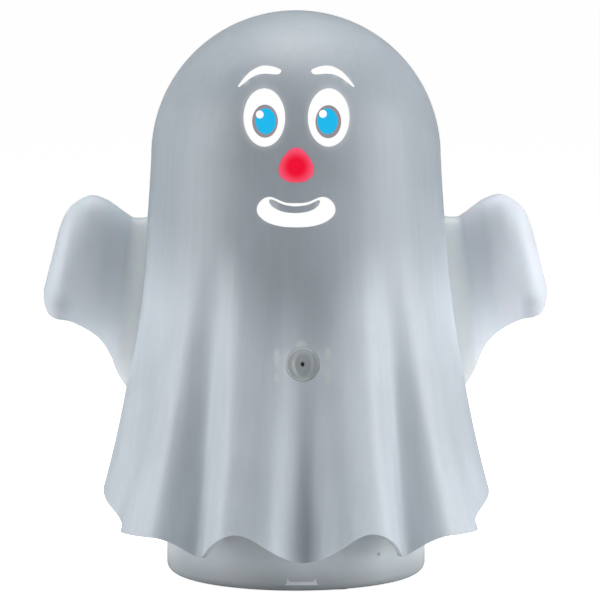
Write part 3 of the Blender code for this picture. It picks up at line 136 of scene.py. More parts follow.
def full_turn(count):
    """Angles evenly spaced round a circle."""
    return np.linspace(0, 2 * math.pi, count, endpoint=False)


def new_object(name, data):
    """An object in the scene that shows this data."""
    made = bpy.data.objects.new(name, data)
    bpy.context.scene.collection.objects.link(made)
    return made


def closed_mesh(name, points, faces):
    """A mesh from arrays, with its doubles merged and its faces turned outwards."""
    mesh = bpy.data.meshes.new(name)
    mesh.from_pydata(points.reshape(-1, 3).tolist(), [], [list(face) for face in faces])
    work = bmesh.new()
    work.from_mesh(mesh)
    bmesh.ops.remove_doubles(work, verts=work.verts, dist=DOUBLE)
    bmesh.ops.recalc_face_normals(work, faces=work.faces)
    work.to_mesh(mesh)
    work.free()
    return mesh


def new_piece(name, points, faces, material, body="figure"):
    """A closed mesh in its finish, smooth but for sharp edges, riding on a body."""
    mesh = closed_mesh(name, points, faces)
    mesh.shade_smooth()
    mesh.set_sharp_from_angle(angle=SHARP_ANGLE)
    mesh.materials.append(material)
    piece = new_object(name, mesh)
    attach(piece, body)
    return piece


def wall_faces(rows, columns, offset):
    """Quads of a closed wall: an outer and an inner grid, joined along all four edges."""
    index = np.arange(rows * columns).reshape(rows, columns)
    outer = np.stack([index[:-1, :-1], index[1:, :-1], index[1:, 1:], index[:-1, 1:]], -1)
    inner = outer[..., ::-1] + offset
    rims = []
    for edge in (index[0], index[-1], index[:, 0], index[:, -1]):
        rims.append(np.stack([edge[:-1], edge[1:], edge[1:] + offset, edge[:-1] + offset], -1))
    return np.concatenate([outer.reshape(-1, 4), inner.reshape(-1, 4), *rims])


def half_shell(name, first, side, material):
    """Outer grid and inner grid a wall apart, with flat faces half a seam from the parting plane."""
    theta = np.linspace(first, first + math.pi, HALF_COLUMNS + 1)[None, :]
    dome = np.linspace(0, 1, DOME_ROWS + 1)
    skirt = 1 + np.linspace(0, 1, SKIRT_ROWS + 1)[1:]
    row = np.concatenate([dome, skirt])[:, None]
    outer = body_point(theta, row + 0 * theta)
    normal = body_normal(theta, row + 0 * theta)
    normal[0] = (0, 0, 1)
    inner = outer - WALL * normal
    for skin in (outer, inner):
        skin[:, (0, -1), 1] = side * SEAM / 2
        skin[0, :, 1] = side * SEAM / 2
    points = np.concatenate([outer.reshape(-1, 3), inner.reshape(-1, 3)])
    faces = wall_faces(len(row), HALF_COLUMNS + 1, outer.shape[0] * outer.shape[1])
    return new_piece(name, points, faces, material)


def add_node(tree, kind, inputs=None, output=0, **settings):
    """Adds a node with these settings and inputs, each a value or a socket, and returns one output."""
    made = tree.nodes.new("ShaderNode" + kind)
    for name, value in settings.items():
        setattr(made, name, value)
    for key, value in (inputs or {}).items():
        if isinstance(value, bpy.types.NodeSocket):
            tree.links.new(value, made.inputs[key])
        else:
            made.inputs[key].default_value = value
    return made.outputs[output]


def maths(tree, operation, *values, clamp=False):
    """One Math node over values or sockets."""
    return add_node(tree, "Math", dict(enumerate(values)), operation=operation, use_clamp=clamp)


def vector(tree, operation, *values, output=0):
    """One Vector Math node over values or sockets."""
    return add_node(tree, "VectorMath", dict(enumerate(values)), output, operation=operation)


def millimetres(tree, place, axes="XYZ"):
    """The object's own coordinates along these axes, in millimetres."""
    scaled = vector(tree, "MULTIPLY", place, (1000.0, 1000.0, 1000.0))
    return [add_node(tree, "SeparateXYZ", {0: scaled}, axis) for axis in axes]


def ramp(tree, value, low, high, start=0.0, end=1.0):
    """Smooth step from start to end while the value runs from low to high."""
    inputs = {"Value": value, "From Min": low, "From Max": high, "To Min": start, "To Max": end}
    return add_node(tree, "MapRange", inputs, interpolation_type="SMOOTHSTEP")


def blend(tree, share, first, second, way="MIX"):
    """First colour where the share is 0, second where it is 1."""
    inputs = {"Factor": share, "A": first, "B": second}
    return add_node(tree, "Mix", inputs, "Result", data_type="RGBA", blend_type=way)


def new_material(name, **sockets):
    """A Principled material with its tree, its shader and the object's own coordinates."""
    made = bpy.data.materials.new(name)
    made.use_nodes = True
    tree = made.node_tree
    shader = tree.nodes["Principled BSDF"]
    for socket, value in sockets.items():
        shader.inputs[socket.replace("_", " ")].default_value = value
    return made, tree, shader, add_node(tree, "TexCoord", output="Object")


def cloud(tree, place, scale, detail=3.0, distortion=0.0):
    """Soft noise, most of it within the cloud span."""
    inputs = {"Vector": place, "Scale": scale, "Detail": detail, "Distortion": distortion}
    return add_node(tree, "TexNoise", inputs, "Fac")


def mottle(tree, soft, start=0.0, end=1.0):
    """A value that follows soft noise from start to end."""
    return ramp(tree, soft, *CLOUD_SPAN, start, end)


def darkened(tree, colour, shade):
    """A colour times a grey shade."""
    grey = add_node(tree, "CombineColor", {0: shade, 1: shade, 2: shade})
    return blend(tree, 1.0, colour, grey, "MULTIPLY")


def link(shader, **sockets):
    """Links values to the shader's inputs of these names."""
    for name, value in sockets.items():
        shader.id_data.links.new(value, shader.inputs[name.replace("_", " ")])


def surface(shader, place, colour, soft, gloss, grain):
    """A colour, a roughness that follows soft noise between two levels, and a fine grain."""
    tree = shader.id_data
    scale, strength = grain
    inputs = {"Strength": strength, "Distance": GRAIN_HEIGHT, "Height": cloud(tree, place, scale, 2.0)}
    normal = add_node(tree, "Bump", inputs, "Normal")
    link(shader, Base_Color=colour, Roughness=mottle(tree, soft, *gloss), Normal=normal)


def ellipse_glow():
    """Node group: 1 inside an ellipse, falling as a square to 0 at a reach beyond its edge."""
    group = bpy.data.node_groups.new("ellipse_glow", "ShaderNodeTree")
    names = ("Across", "Height", "Centre Across", "Centre Height", "Half Across", "Half Height", "Reach")
    for name in names:
        group.interface.new_socket(name, in_out="INPUT", socket_type="NodeSocketFloat")
    group.interface.new_socket("Glow", in_out="OUTPUT", socket_type="NodeSocketFloat")
    given = group.nodes.new("NodeGroupInput").outputs
    squares = []
    for axis in range(2):
        share = maths(group, "SUBTRACT", given[axis], given[axis + 2])
        share = maths(group, "DIVIDE", share, given[axis + 4])
        squares.append(maths(group, "MULTIPLY", share, share))
    beyond = maths(group, "SUBTRACT", maths(group, "SQRT", maths(group, "ADD", *squares)), 1.0)
    beyond = maths(group, "DIVIDE", maths(group, "MULTIPLY", beyond, given[4]), given[6])
    fade = maths(group, "SUBTRACT", 1.0, maths(group, "MAXIMUM", beyond, 0.0), clamp=True)
    end = group.nodes.new("NodeGroupOutput")
    group.links.new(maths(group, "POWER", fade, 2.0), end.inputs[0])
    return group


SKIRT_TINT = (0.555, 0.61, 0.67, 1)
DOME_SHADE_TINT = (0.385, 0.43, 0.475, 1)
BRACKET_TINT = (0.62, 0.66, 0.69, 1)
DOME_SHADE_EDGE = (160.0, 225.0)
FRONT_SHADE_SPAN = (8.0, 42.0)
FRONT_SHADE_DROP = 34.0
FACE_TURN = math.radians(-2.4)
FACE_SHIFT = 0.2
SIDE_GLOWS = (
    (-15.6, 220.5, 5.0, 5.0, 3.0),
    (-28.4, 291.9, 1.2, 1.6, 2.4),
    (-23.6, 295.5, 2.2, 1.4, 2.4),
    (-17.6, 297.6, 3.6, 1.4, 2.4),
    (-12.2, 297.4, 2.0, 1.0, 2.4),
)
FACE_GLOWS = (
    (-17.7, 271.5, 11.65, 16.0, 3.4),
    (18.3, 271.5, 11.65, 16.0, 3.4),
    (0.0, 213.7, 14.0, 2.4, 9.0),
    *SIDE_GLOWS,
    *((FACE_SHIFT - across, *rest) for across, *rest in SIDE_GLOWS),
)
BRACKET_MARKS = (
    (-10.9, 138.0, 1.2, 3.0, 1.6),
    (-10.9, 126.4, 1.1, 1.8, 1.6),
    (17.8, 139.7, 1.2, 2.2, 1.6),
    (17.8, 127.3, 1.2, 3.2, 1.6),
    (3.2, 144.2, 2.2, 2.2, 2.0),
)
BRACKET_ZONE = (3.2, 134.6, 14.0, 7.0, 9.0)
HALO_STRENGTH = 0.12
VALLEY_SHADE = 0.78
VALLEY_START = 0.50
DRAW_LINES = (260.0, 260.0, 6.0)
DRAW_SHADE = (0.98, 1.02)
DOME_SHADE_WANDER = 18.0
ZONE_SHARE = 0.45
CLOUD_SPAN = (0.3, 0.7)
GRAIN_HEIGHT = 0.0002
SCATTER = {"Subsurface_Weight": 0.3, "Subsurface_Scale": 0.006}
FROSTED_CLOUD = (16.0, 4.0, 0.4)
FROSTED_SHADE = (0.95, 1.04)
FROSTED_GLOSS = (0.38, 0.50)
FROSTED_GRAIN = (1500.0, 0.08)
WHITE = (1, 1, 1, 1)
glow_group = ellipse_glow()


def strongest_glow(tree, across, height, rows):
    """The strongest of several ellipse glows."""
    total = 0.0
    for row in rows:
        inputs = dict(enumerate((across, height, *row)))
        total = maths(tree, "MAXIMUM", total, add_node(tree, "Group", inputs, node_tree=glow_group))
    return total


def ridge_line(tree, z):
    """Ridge radius in millimetres at a height, the same formula as the surface."""
    span = 1000 * (SHOULDER - HEM_HEIGHT)
    below = maths(tree, "DIVIDE", maths(tree, "SUBTRACT", 1000 * SHOULDER, z), span)
    below = maths(tree, "MAXIMUM", below, 0.0)
    bend = maths(tree, "ADD", maths(tree, "MULTIPLY", below, 1 - FLARE), FLARE)
    flare = maths(tree, "MULTIPLY", maths(tree, "MULTIPLY", below, bend), 1000 * (HEM_RADIUS - DOME_RADIUS))
    return maths(tree, "ADD", flare, 1000 * DOME_RADIUS)


def fold_depth(tree, x, y, z):
    """Depth below the ridge line as a share of the deepest valley, and none on the dome."""
    squares = [maths(tree, "MULTIPLY", side, side) for side in (x, y)]
    radius = maths(tree, "SQRT", maths(tree, "ADD", *squares))
    depth = maths(tree, "SUBTRACT", ridge_line(tree, z), radius)
    depth = maths(tree, "DIVIDE", depth, 1000 * FOLD_DEPTH)
    return maths(tree, "MULTIPLY", depth, maths(tree, "LESS_THAN", z, 1000 * SHOULDER), clamp=True)


frosted, tree, shader, place = new_material(
    "frosted_polythene", Subsurface_Radius=(1.0, 1.05, 1.1), Emission_Color=WHITE, **SCATTER
)
# The skirt tint gives way to a darker tint on the dome, painted shade whose edge comes further down
# the front middle. Valleys get painted shade, fine lines run down the way the plastic was drawn, and
# the face throws a faint halo.
x, y, z = millimetres(tree, place)
across = maths(tree, "MULTIPLY", x, math.cos(FACE_TURN))
across = maths(tree, "ADD", across, maths(tree, "MULTIPLY", y, math.sin(FACE_TURN)))
front = maths(tree, "LESS_THAN", y, 0.0)
soft = cloud(tree, place, *FROSTED_CLOUD)
# Painted shade: the darker dome tint, its wavy lower edge brought further down in front of the middle.
run = ramp(tree, maths(tree, "ABSOLUTE", across), *FRONT_SHADE_SPAN, FRONT_SHADE_DROP, 0.0)
edge = maths(tree, "ADD", z, maths(tree, "MULTIPLY", soft, DOME_SHADE_WANDER))
edge = maths(tree, "ADD", edge, maths(tree, "MULTIPLY", run, front))
colour = blend(tree, ramp(tree, edge, *DOME_SHADE_EDGE), SKIRT_TINT, DOME_SHADE_TINT)
zone = maths(tree, "MULTIPLY", strongest_glow(tree, across, z, (BRACKET_ZONE,)), ZONE_SHARE)
marks = maths(tree, "ADD", zone, strongest_glow(tree, across, z, BRACKET_MARKS), clamp=True)
colour = blend(tree, maths(tree, "MULTIPLY", marks, front), colour, BRACKET_TINT)
depth = fold_depth(tree, x, y, z)
shade = mottle(tree, soft, *FROSTED_SHADE)
# Painted shade in the fold valleys, darkest at the valley floor.
shade = maths(tree, "MULTIPLY", shade, ramp(tree, depth, VALLEY_START, 1.0, 1.0, VALLEY_SHADE))
drawn = cloud(tree, vector(tree, "MULTIPLY", place, DRAW_LINES), 1.0)
shade = maths(tree, "MULTIPLY", shade, mottle(tree, drawn, *DRAW_SHADE))
surface(shader, place, darkened(tree, colour, shade), soft, FROSTED_GLOSS, FROSTED_GRAIN)
halo = maths(tree, "MULTIPLY", strongest_glow(tree, across, z, FACE_GLOWS), front)
link(shader, Emission_Strength=maths(tree, "MULTIPLY", halo, HALO_STRENGTH))

front_shell = half_shell("ghost_front", -math.pi / 2, -1, frosted)
back_shell = half_shell("ghost_back", math.pi / 2, 1, frosted)
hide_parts("front_shell")
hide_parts("back_shell")


# Arms: two hollow mittens of the same polythene, their necks caught in the parting line of the body.
# Sections between a top and a bottom line, flared at the root, where each meets the body in a crease.
ARM_ROOT = 0.0844
ARM_REACH = 0.0633
ARM_LOW = 0.1053
ARM_RISE = 0.1174
ARM_DEPTH = 0.0185
ARM_SECTIONS = (
    (-0.12, 0.90, 0.06, -0.10, 0.86),
    (0.13, 0.887, 0.30, 0.09, 0.88),
    (0.22, 0.907, 0.38, 0.193, 0.91),
    (0.325, 0.948, 0.461, 0.267, 0.95),
    (0.42, 0.981, 0.57, 0.319, 1.00),
    (0.556, 1.0, 0.747, 0.368, 0.99),
    (0.692, 0.967, 0.881, 0.382, 0.90),
    (0.784, 0.916, 0.957, 0.41, 0.70),
    (0.850, 0.832, 0.995, 0.47, 0.43),
    (0.895, 0.74, 0.998, 0.53, 0.13),
)
ARM_LIGHT_TINTS = ((0.62, 0.68, 0.74, 1), (0.70, 0.75, 0.82, 1))
ROOT_LIGHT_TINT = (0.75, 0.79, 0.81, 1)
ROOT_LIGHT_SPAN = (1.0, 13.0)
PAINTED_DIMPLE_SPOT = (138.0, 160.0, 1.5, 1.5, 9.0)
DIMPLE_SHADE = 0.14
ARM_RINGS = 72
ARM_POINTS = 96


arm_finish, tree, shader, place = new_material("frosted_arm", **SCATTER)
x, z = millimetres(tree, place, "XZ")
reach = maths(tree, "ABSOLUTE", x)
soft = cloud(tree, place, *FROSTED_CLOUD)
beyond = maths(tree, "SUBTRACT", reach, ridge_line(tree, z))
# Painted light: the arms are tinted lighter than the body, and the ghost's left arm (+x) lighter than its
# right.
arm_light_tint = blend(tree, ramp(tree, x, -1.0, 1.0), *ARM_LIGHT_TINTS)
# Painted light: a lighter band along the root, where each arm meets the body.
colour = blend(tree, ramp(tree, beyond, *ROOT_LIGHT_SPAN), ROOT_LIGHT_TINT, arm_light_tint)
# Painted shade: a dark spot at the lower outer corner of each arm, for a dimple that is not modelled.
painted_dimple_shade = maths(tree, "MULTIPLY", strongest_glow(tree, reach, z, (PAINTED_DIMPLE_SPOT,)), DIMPLE_SHADE)
shade = maths(tree, "SUBTRACT", mottle(tree, soft, *FROSTED_SHADE), painted_dimple_shade)
surface(shader, place, darkened(tree, colour, shade), soft, FROSTED_GLOSS, FROSTED_GRAIN)


def catmull_rom(before, here, there, after, part):
    """The cubic from here to there, with its slopes set by the neighbours before and after."""
    slope, bend = there - before, 2 * before - 5 * here + 4 * there - after
    return here + part * (slope + part * (bend + part * (3 * (here - there) + after - before))) / 2


def grid_faces(rows, columns):
    """Quads of a grid whose rows are closed loops, and a flat cap at either end."""
    index = np.arange(rows * columns).reshape(rows, columns)
    after = np.roll(index, -1, axis=1)
    sides = np.stack([index[:-1], after[:-1], after[1:], index[1:]], -1).reshape(-1, 4)
    return [*sides.tolist(), index[0].tolist(), index[-1].tolist()]


def closed_grid(name, points, material, body="figure"):
    """A solid from sections: rows of points, each row a closed loop, with a flat cap at either end."""
    return new_piece(name, points, grid_faces(*points.shape[:2]), material, body)


def smooth_rows(rows, count):
    """Catmull-Rom curve through the rows: each span is a cubic of its two ends and their neighbours."""
    spot = np.linspace(0, len(rows) - 1, count)
    start = np.minimum(spot.astype(int), len(rows) - 2)
    padded = np.concatenate([rows[:1] * 2 - rows[1:2], rows, rows[-1:] * 2 - rows[-2:-1]])
    return catmull_rom(*(padded[start + step] for step in range(4)), (spot - start)[:, None])


def arm_piece(name, cad_node, side):
    """Elliptic sections: middle + a cos t up the section and b sin t in depth, closed at both ends."""
    rows = smooth_rows(np.array(ARM_SECTIONS), ARM_RINGS)
    edges = (ARM_ROOT, ARM_LOW) + np.array([ARM_REACH, ARM_RISE]) * rows[:, :4].reshape(-1, 2, 2)
    top, low = edges[:, :1], edges[:, 1:]
    turn = full_turn(ARM_POINTS)[None, :]
    flat = (top + low) / 2 + (top - low) / 2 * np.cos(turn)[..., None]
    rings = np.stack([side * flat[..., 0], ARM_DEPTH * rows[:, 4:] * np.sin(turn), flat[..., 1]], -1)
    ends = np.broadcast_to(rings[(0, -1), :].mean(axis=1, keepdims=True), (2, ARM_POINTS, 3))
    piece = closed_grid(name, np.concatenate([ends[:1], rings, ends[1:]]), arm_finish)
    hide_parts(cad_node)
    return piece


arm_piece("ghost_left_arm", "left_arm", 1)
arm_piece("ghost_right_arm", "right_arm", -1)


# Light face: two brows, two eyes, a nose and a smiling mouth, thrown from inside on to the front of
# the dome. Thin films of light that follow the body a hair above it, the brows, eyes and mouth with a
# soft halo round them.
# Outlines are in millimetres on the front of the dome: across the face, and height over the table.
FILM_LIFT = 0.00015
FILM_STEP = 0.0001
FILM_SINK = 0.0004
FILM_CELL = 1.2
FILM_TOLERANCE = 0.00001
OVAL_POINTS = 96
CURVE_STEPS = 10
NOSE_MIDDLE = (0.87, 0.007, 0.036, 1)
NOSE_RIM = (0.93, 0.11, 0.20, 1)
MOUTH = (
    (0.0, 223.9), (-5.0, 224.1), (-7.9, 224.9), (-10.8, 226.2), (-13.1, 227.1), (-15.1, 227.3),
    (-17.2, 226.8), (-19.3, 225.4), (-21.2, 223.0), (-21.9, 220.3), (-21.4, 217.8), (-19.7, 215.7),
    (-17.0, 213.7), (-12.8, 212.0), (-6.9, 210.8), (0.0, 210.5), (7.1, 210.8), (12.6, 211.9),
    (16.9, 213.6), (19.9, 215.7), (21.5, 217.8), (22.0, 220.3), (21.3, 223.0), (19.4, 225.4),
    (17.3, 226.8), (15.2, 227.3), (13.2, 227.1), (10.8, 226.2), (7.8, 224.9), (4.6, 224.1),
)
MOUTH_OPENING = (
    (-0.2, 222.2), (-3.1, 222.4), (-6.0, 222.9), (-8.9, 223.9), (-11.8, 225.3), (-14.0, 226.0),
    (-15.1, 225.3), (-14.7, 223.8), (-13.3, 222.0), (-10.3, 220.2), (-6.0, 218.9), (-0.2, 218.4),
    (5.0, 218.9), (8.6, 219.9), (11.5, 221.5), (13.0, 223.4), (13.4, 225.1), (12.3, 225.5),
    (9.7, 224.3), (6.4, 223.0), (2.8, 222.4),
)
BROW = (
    (-32.6, 288.5), (-31.8, 288.2), (-28.6, 290.7), (-25.6, 292.9), (-21.7, 294.9), (-17.3, 295.5),
    (-13.6, 295.3), (-10.6, 295.2), (-9.0, 295.8), (-8.4, 297.4), (-10.9, 298.8), (-13.9, 299.6),
    (-16.8, 299.9), (-19.8, 299.6), (-23.2, 298.1), (-26.6, 295.8), (-29.5, 292.6), (-31.7, 289.9),
)
EYE_WHITES = ((-17.7, 271.4, 11.65, 16.0), (18.3, 271.4, 11.65, 16.0))
EYE_RINGS = ((-17.3, 269.4, 7.2, 9.1), (18.05, 269.1, 7.2, 9.1))
IRISES = ((-16.9, 269.4, 5.65, 7.1), (17.6, 269.3, 5.6, 7.05))
GLINTS = ((-20.2, 273.0, 2.15, 2.15), (15.0, 273.4, 2.15, 2.15))
NOSE_CENTRE = (0.1, 244.3)
NOSE_FADE = (0.0038, 0.0112)
NOSE_SIDE = (
    (1.9, 254.7), (3.7, 253.6), (5.6, 251.7), (7.8, 248.8), (9.3, 245.6), (9.9, 243.0), (9.6, 240.5),
    (8.1, 238.1), (5.5, 236.3), (2.6, 235.6),
)


def closed_curve(points):
    """Closed Catmull-Rom curve through the points, each span a cubic of its four neighbours."""
    part = np.linspace(0, 1, CURVE_STEPS, endpoint=False)[None, :, None]
    spans = (np.roll(np.array(points), shift, 0)[:, None] for shift in (1, 0, -1, -2))
    return catmull_rom(*spans, part).reshape(-1, 2)


def ellipse(centre_x, centre_z, half_x, half_z, count=OVAL_POINTS):
    """An oval outline: centre + (a cos t, b sin t)."""
    turn = full_turn(count)
    return np.stack([centre_x + half_x * np.cos(turn), centre_z + half_z * np.sin(turn)], -1)


def inside(points, loop):
    """Even-odd rule: a point is inside if a ray to the right crosses the loop an odd number of times."""
    start, end = loop, np.roll(loop, -1, 0)
    height = points[:, None, 1]
    spans = (start[:, 1] > height) != (end[:, 1] > height)
    rise = np.where(end[:, 1] == start[:, 1], 1, end[:, 1] - start[:, 1])
    cross = start[:, 0] + (height - start[:, 1]) * (end[:, 0] - start[:, 0]) / rise
    return np.count_nonzero(spans & (points[:, None, 0] < cross), axis=1) % 2 == 1


def filled(points, loops):
    """Inside the first loop and outside the others, which are its holes."""
    return inside(points, loops[0]) & ~np.any([inside(points, loop) for loop in loops[1:]], axis=0)


def on_front(flat, lift):
    """A face point in millimetres, carried to the body's front and lifted along its normal."""
    across, z = flat.T / 1000
    over = z > SHOULDER
    fall = np.arccos(np.clip((z - SHOULDER) / DOME_RADIUS, 0, 1))
    radius = np.where(over, DOME_RADIUS * np.sin(fall), body_radius(0, z))
    theta = FACE_TURN + np.arcsin(across / radius)
    straight = 1 + (SHOULDER - z) / (SHOULDER - hem_height(theta))
    row = np.where(over, fall / (math.pi / 2), straight)
    return body_point(theta, row) + lift * body_normal(theta, row)


def light_film(name, loops, layer, material):
    """A closed film between loops: the first is its edge, the others are holes in it."""
    spans = zip(loops[0].min(0), loops[0].max(0))
    grid = np.stack(np.meshgrid(*(np.arange(*span, FILM_CELL) for span in spans)), -1).reshape(-1, 2)
    keep = filled(grid, loops)
    edges, first = [], 0
    for loop in loops:
        keep &= np.linalg.norm(grid[:, None] - loop[None], axis=-1).min(1) > FILM_CELL / 2
        index = first + np.arange(len(loop))
        edges.append(np.stack([index, np.roll(index, -1)], -1))
        first += len(loop)
    points = [Vector(point) for point in np.concatenate([*loops, grid[keep]])]
    cut = delaunay_2d_cdt(points, np.concatenate(edges).tolist(), [], 0, FILM_TOLERANCE)
    flat, triangles = np.array(cut[0]), np.array(cut[2])
    triangles = triangles[filled(flat[triangles].mean(1), loops)]
    sides = np.concatenate([triangles[:, (0, 1)], triangles[:, (1, 2)], triangles[:, (2, 0)]])
    pairs = {tuple(side) for side in sides.tolist()}
    rim = np.array([side for side in pairs if side[::-1] not in pairs])
    count = len(flat)
    skin = np.concatenate([on_front(flat, FILM_LIFT + layer * FILM_STEP), on_front(flat, -FILM_SINK)])
    faces = triangles.tolist() + (triangles[:, ::-1] + count).tolist()
    faces += np.stack([rim[:, 0], rim[:, 0] + count, rim[:, 1] + count, rim[:, 1]], -1).tolist()
    new_piece(name, skin, faces, material)


def light(name, colour):
    """A finish that only gives light, of one colour."""
    glow = {"Emission_Color": (*colour, 1), "Emission_Strength": 1.0}
    return new_material(name, Base_Color=(0, 0, 0, 1), Roughness=1.0, Specular_IOR_Level=0.0, **glow)


white_light = light("white_light", (1.0, 1.0, 1.0))[0]
blue_light = light("blue_light", (0.017, 0.485, 0.84))[0]
grey_light = light("grey_light", (0.30, 0.275, 0.30))[0]
red_light, tree, shader, place = light("red_light", (0.85, 0.012, 0.04))
nose_place = on_front(np.array([NOSE_CENTRE]), 0)[0].tolist()
spot = vector(tree, "MULTIPLY", vector(tree, "SUBTRACT", place, nose_place), (1, 0, 1))
share = ramp(tree, vector(tree, "LENGTH", spot, output="Value"), *NOSE_FADE)
link(shader, Emission_Color=blend(tree, share, NOSE_MIDDLE, NOSE_RIM))

mirrored_brow = np.array(BROW[::-1]) * (-1, 1) + (FACE_SHIFT, 0)
light_film("left_brow", [closed_curve(BROW)], 0, white_light)
light_film("right_brow", [closed_curve(mirrored_brow)], 0, white_light)
for side, white, ring, iris, glint in zip(("left", "right"), EYE_WHITES, EYE_RINGS, IRISES, GLINTS):
    light_film(f"{side}_eye_white", [ellipse(*white)], 0, white_light)
    light_film(f"{side}_eye_ring", [ellipse(*ring)], 1, grey_light)
    light_film(f"{side}_iris", [ellipse(*iris)], 2, blue_light)
    light_film(f"{side}_glint", [ellipse(*glint)], 3, white_light)
nose_right = np.array(NOSE_SIDE)
nose = np.concatenate([nose_right, nose_right[::-1] * (-1, 1)]) + (NOSE_CENTRE[0], 0)
light_film("nose_light", [closed_curve(nose)], 0, red_light)
light_film("mouth_light", [closed_curve(MOUTH), closed_curve(MOUTH_OPENING)], 0, white_light)


# Chest sensor: a dish with a pinhole, pressed into a round hole in the front valley of the skirt.
# A flat frosted rim runs down into an oval hollow that is taller than it is wide.
SENSOR_HEIGHT = 0.1335
SENSOR_RADIUS = 0.0096
SENSOR_GAP = 0.00003
SENSOR_PROUD = 0.0002
SENSOR_DEPTH = 0.0060
CAPSULE_SEAT = 0.0033
CAPSULE_DEPTH = 0.0031
RIM_ROUND = 0.00018
BEAD_RADIUS = 0.0091
BEAD_WIDTH = 0.00030
BEAD_RISE = 0.00028
DISH_HALF_WIDTH = 0.0056
DISH_HALF_HEIGHT = 0.0072
DISH_DEPTH = 0.0011
PINHOLE_RADIUS = 0.00085
PINHOLE_DEPTH = 0.0017
DISH_EDGE = 1.12
DISH_SLOPE = 0.45
PINHOLE_EDGE = 1.25
PINHOLE_SLOPE = 0.35
DISH_SHADE_TINT = (0.40, 0.44, 0.455, 1)
RIM_TINT = (0.48, 0.515, 0.53, 1)
PINHOLE_SHADE_TINT = (0.025, 0.035, 0.04, 1)
BEAD_HIGHLIGHT_TINT = (0.62, 0.66, 0.68, 1)
DISH_SHADE_FADE = (0.75, 1.2)
PINHOLE_SHADE_FADE = (0.14, 0.24)
SENSOR_SCATTER = {"Subsurface_Weight": 0.2, "Subsurface_Scale": 0.004}
SENSOR_RINGS = 56
SENSOR_POINTS = 120
sensor_face = float(body_radius(0.0, SENSOR_HEIGHT)) + SENSOR_PROUD


def cut_by(piece, cutters, operation="DIFFERENCE"):
    """Cuts each cutter from a piece, or joins it, and keeps the result as its mesh."""
    for cutter in cutters:
        cut = piece.modifiers.new("cut", "BOOLEAN")
        cut.operation = operation
        cut.solver = "EXACT"
        cut.object = cutter
    bpy.context.view_layer.update()
    graph = bpy.context.evaluated_depsgraph_get()
    made = bpy.data.meshes.new_from_object(piece.evaluated_get(graph))
    piece.modifiers.clear()
    piece.data = made
    for cutter in cutters:
        bpy.data.objects.remove(cutter)


def drawn_out(outline, levels, upright=False):
    """Sections of an (x, z) outline at several depths, or of an (x, y) outline at several heights."""
    sections = np.array([[(x, level, other) for x, other in outline] for level in levels])
    return sections[..., (0, 2, 1)] if upright else sections


def prism_cutter(outline, near, far, upright=False):
    """An outline of (x, z) points drawn out from one depth to another, or of (x, y) points upright."""
    sections = drawn_out(outline, (near, far), upright)
    return new_object("cutter", closed_mesh("cutter", sections, grid_faces(2, len(outline))))


def round_cutter(x, other, radius, near, far, sides=OVAL_POINTS, upright=False):
    """A round bar about (x, z) from one depth to another, or about (x, y) upright."""
    return prism_cutter(ellipse(x, other, radius, radius, sides), near, far, upright)


def sensor_skin():
    """Depth by d = D s(q) with q the oval distance, s a smooth step, and a round edge at the rim."""
    share = np.linspace(0, 1, SENSOR_RINGS)[1:, None]
    turn = full_turn(SENSOR_POINTS)[None, :]
    radius = SENSOR_RADIUS * share
    x, z = radius * np.cos(turn), radius * np.sin(turn)
    oval = np.sqrt((x / DISH_HALF_WIDTH) ** 2 + (z / DISH_HALF_HEIGHT) ** 2)
    step = np.clip((DISH_EDGE - oval) / DISH_SLOPE, 0, 1)
    depth = DISH_DEPTH * step**2 * (3 - 2 * step)
    depth = depth + RIM_ROUND * np.clip((radius - SENSOR_RADIUS + RIM_ROUND) / RIM_ROUND, 0, 1) ** 2
    depth = depth - BEAD_RISE * np.exp(-(((radius - BEAD_RADIUS) / BEAD_WIDTH) ** 2))
    hole = np.clip((PINHOLE_EDGE - radius / PINHOLE_RADIUS) / PINHOLE_SLOPE, 0, 1)
    depth = depth + PINHOLE_DEPTH * hole**2 * (3 - 2 * hole)
    front = np.stack([x, depth - sensor_face, SENSOR_HEIGHT + z], -1)
    back = front[-1:] * (1, 0, 1) + (0, SENSOR_DEPTH - sensor_face, 0)
    return np.concatenate([front, back])


sensor_finish, tree, shader, place = new_material("sensor_polythene", **SENSOR_SCATTER)
offset = vector(tree, "SUBTRACT", place, (0, -sensor_face, SENSOR_HEIGHT))
oval = vector(tree, "MULTIPLY", offset, (1 / DISH_HALF_WIDTH, 0, 1 / DISH_HALF_HEIGHT))
oval = vector(tree, "LENGTH", oval, output="Value")
# Painted shade: the oval hollow of the dish is darker, and the pinhole darkest.
colour = blend(tree, ramp(tree, oval, *DISH_SHADE_FADE), DISH_SHADE_TINT, RIM_TINT)
colour = blend(tree, ramp(tree, oval, *PINHOLE_SHADE_FADE), PINHOLE_SHADE_TINT, colour)
from_middle = vector(tree, "LENGTH", offset, output="Value")
# Painted highlight: a lighter ring on the bead near the rim.
bead_highlight_share = ramp(tree, from_middle, BEAD_RADIUS - 2 * BEAD_WIDTH, BEAD_RADIUS)
colour = blend(tree, bead_highlight_share, colour, BEAD_HIGHLIGHT_TINT)
link(shader, Base_Color=colour, Roughness=mottle(tree, cloud(tree, place, 300.0), 0.32, 0.44))
sensor_dish = closed_grid("sensor_dish", sensor_skin(), sensor_finish)
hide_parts("sensor_cup")
hole_end = 2 * SENSOR_DEPTH - sensor_face
hole = (SENSOR_RADIUS + SENSOR_GAP, -SENSOR_DEPTH - sensor_face, hole_end)
cut_by(front_shell, [round_cutter(0, SENSOR_HEIGHT, *hole)])
seat = (CAPSULE_SEAT, CAPSULE_DEPTH - sensor_face, hole_end, 48)
cut_by(sensor_dish, [round_cutter(0, SENSOR_HEIGHT, *seat)])


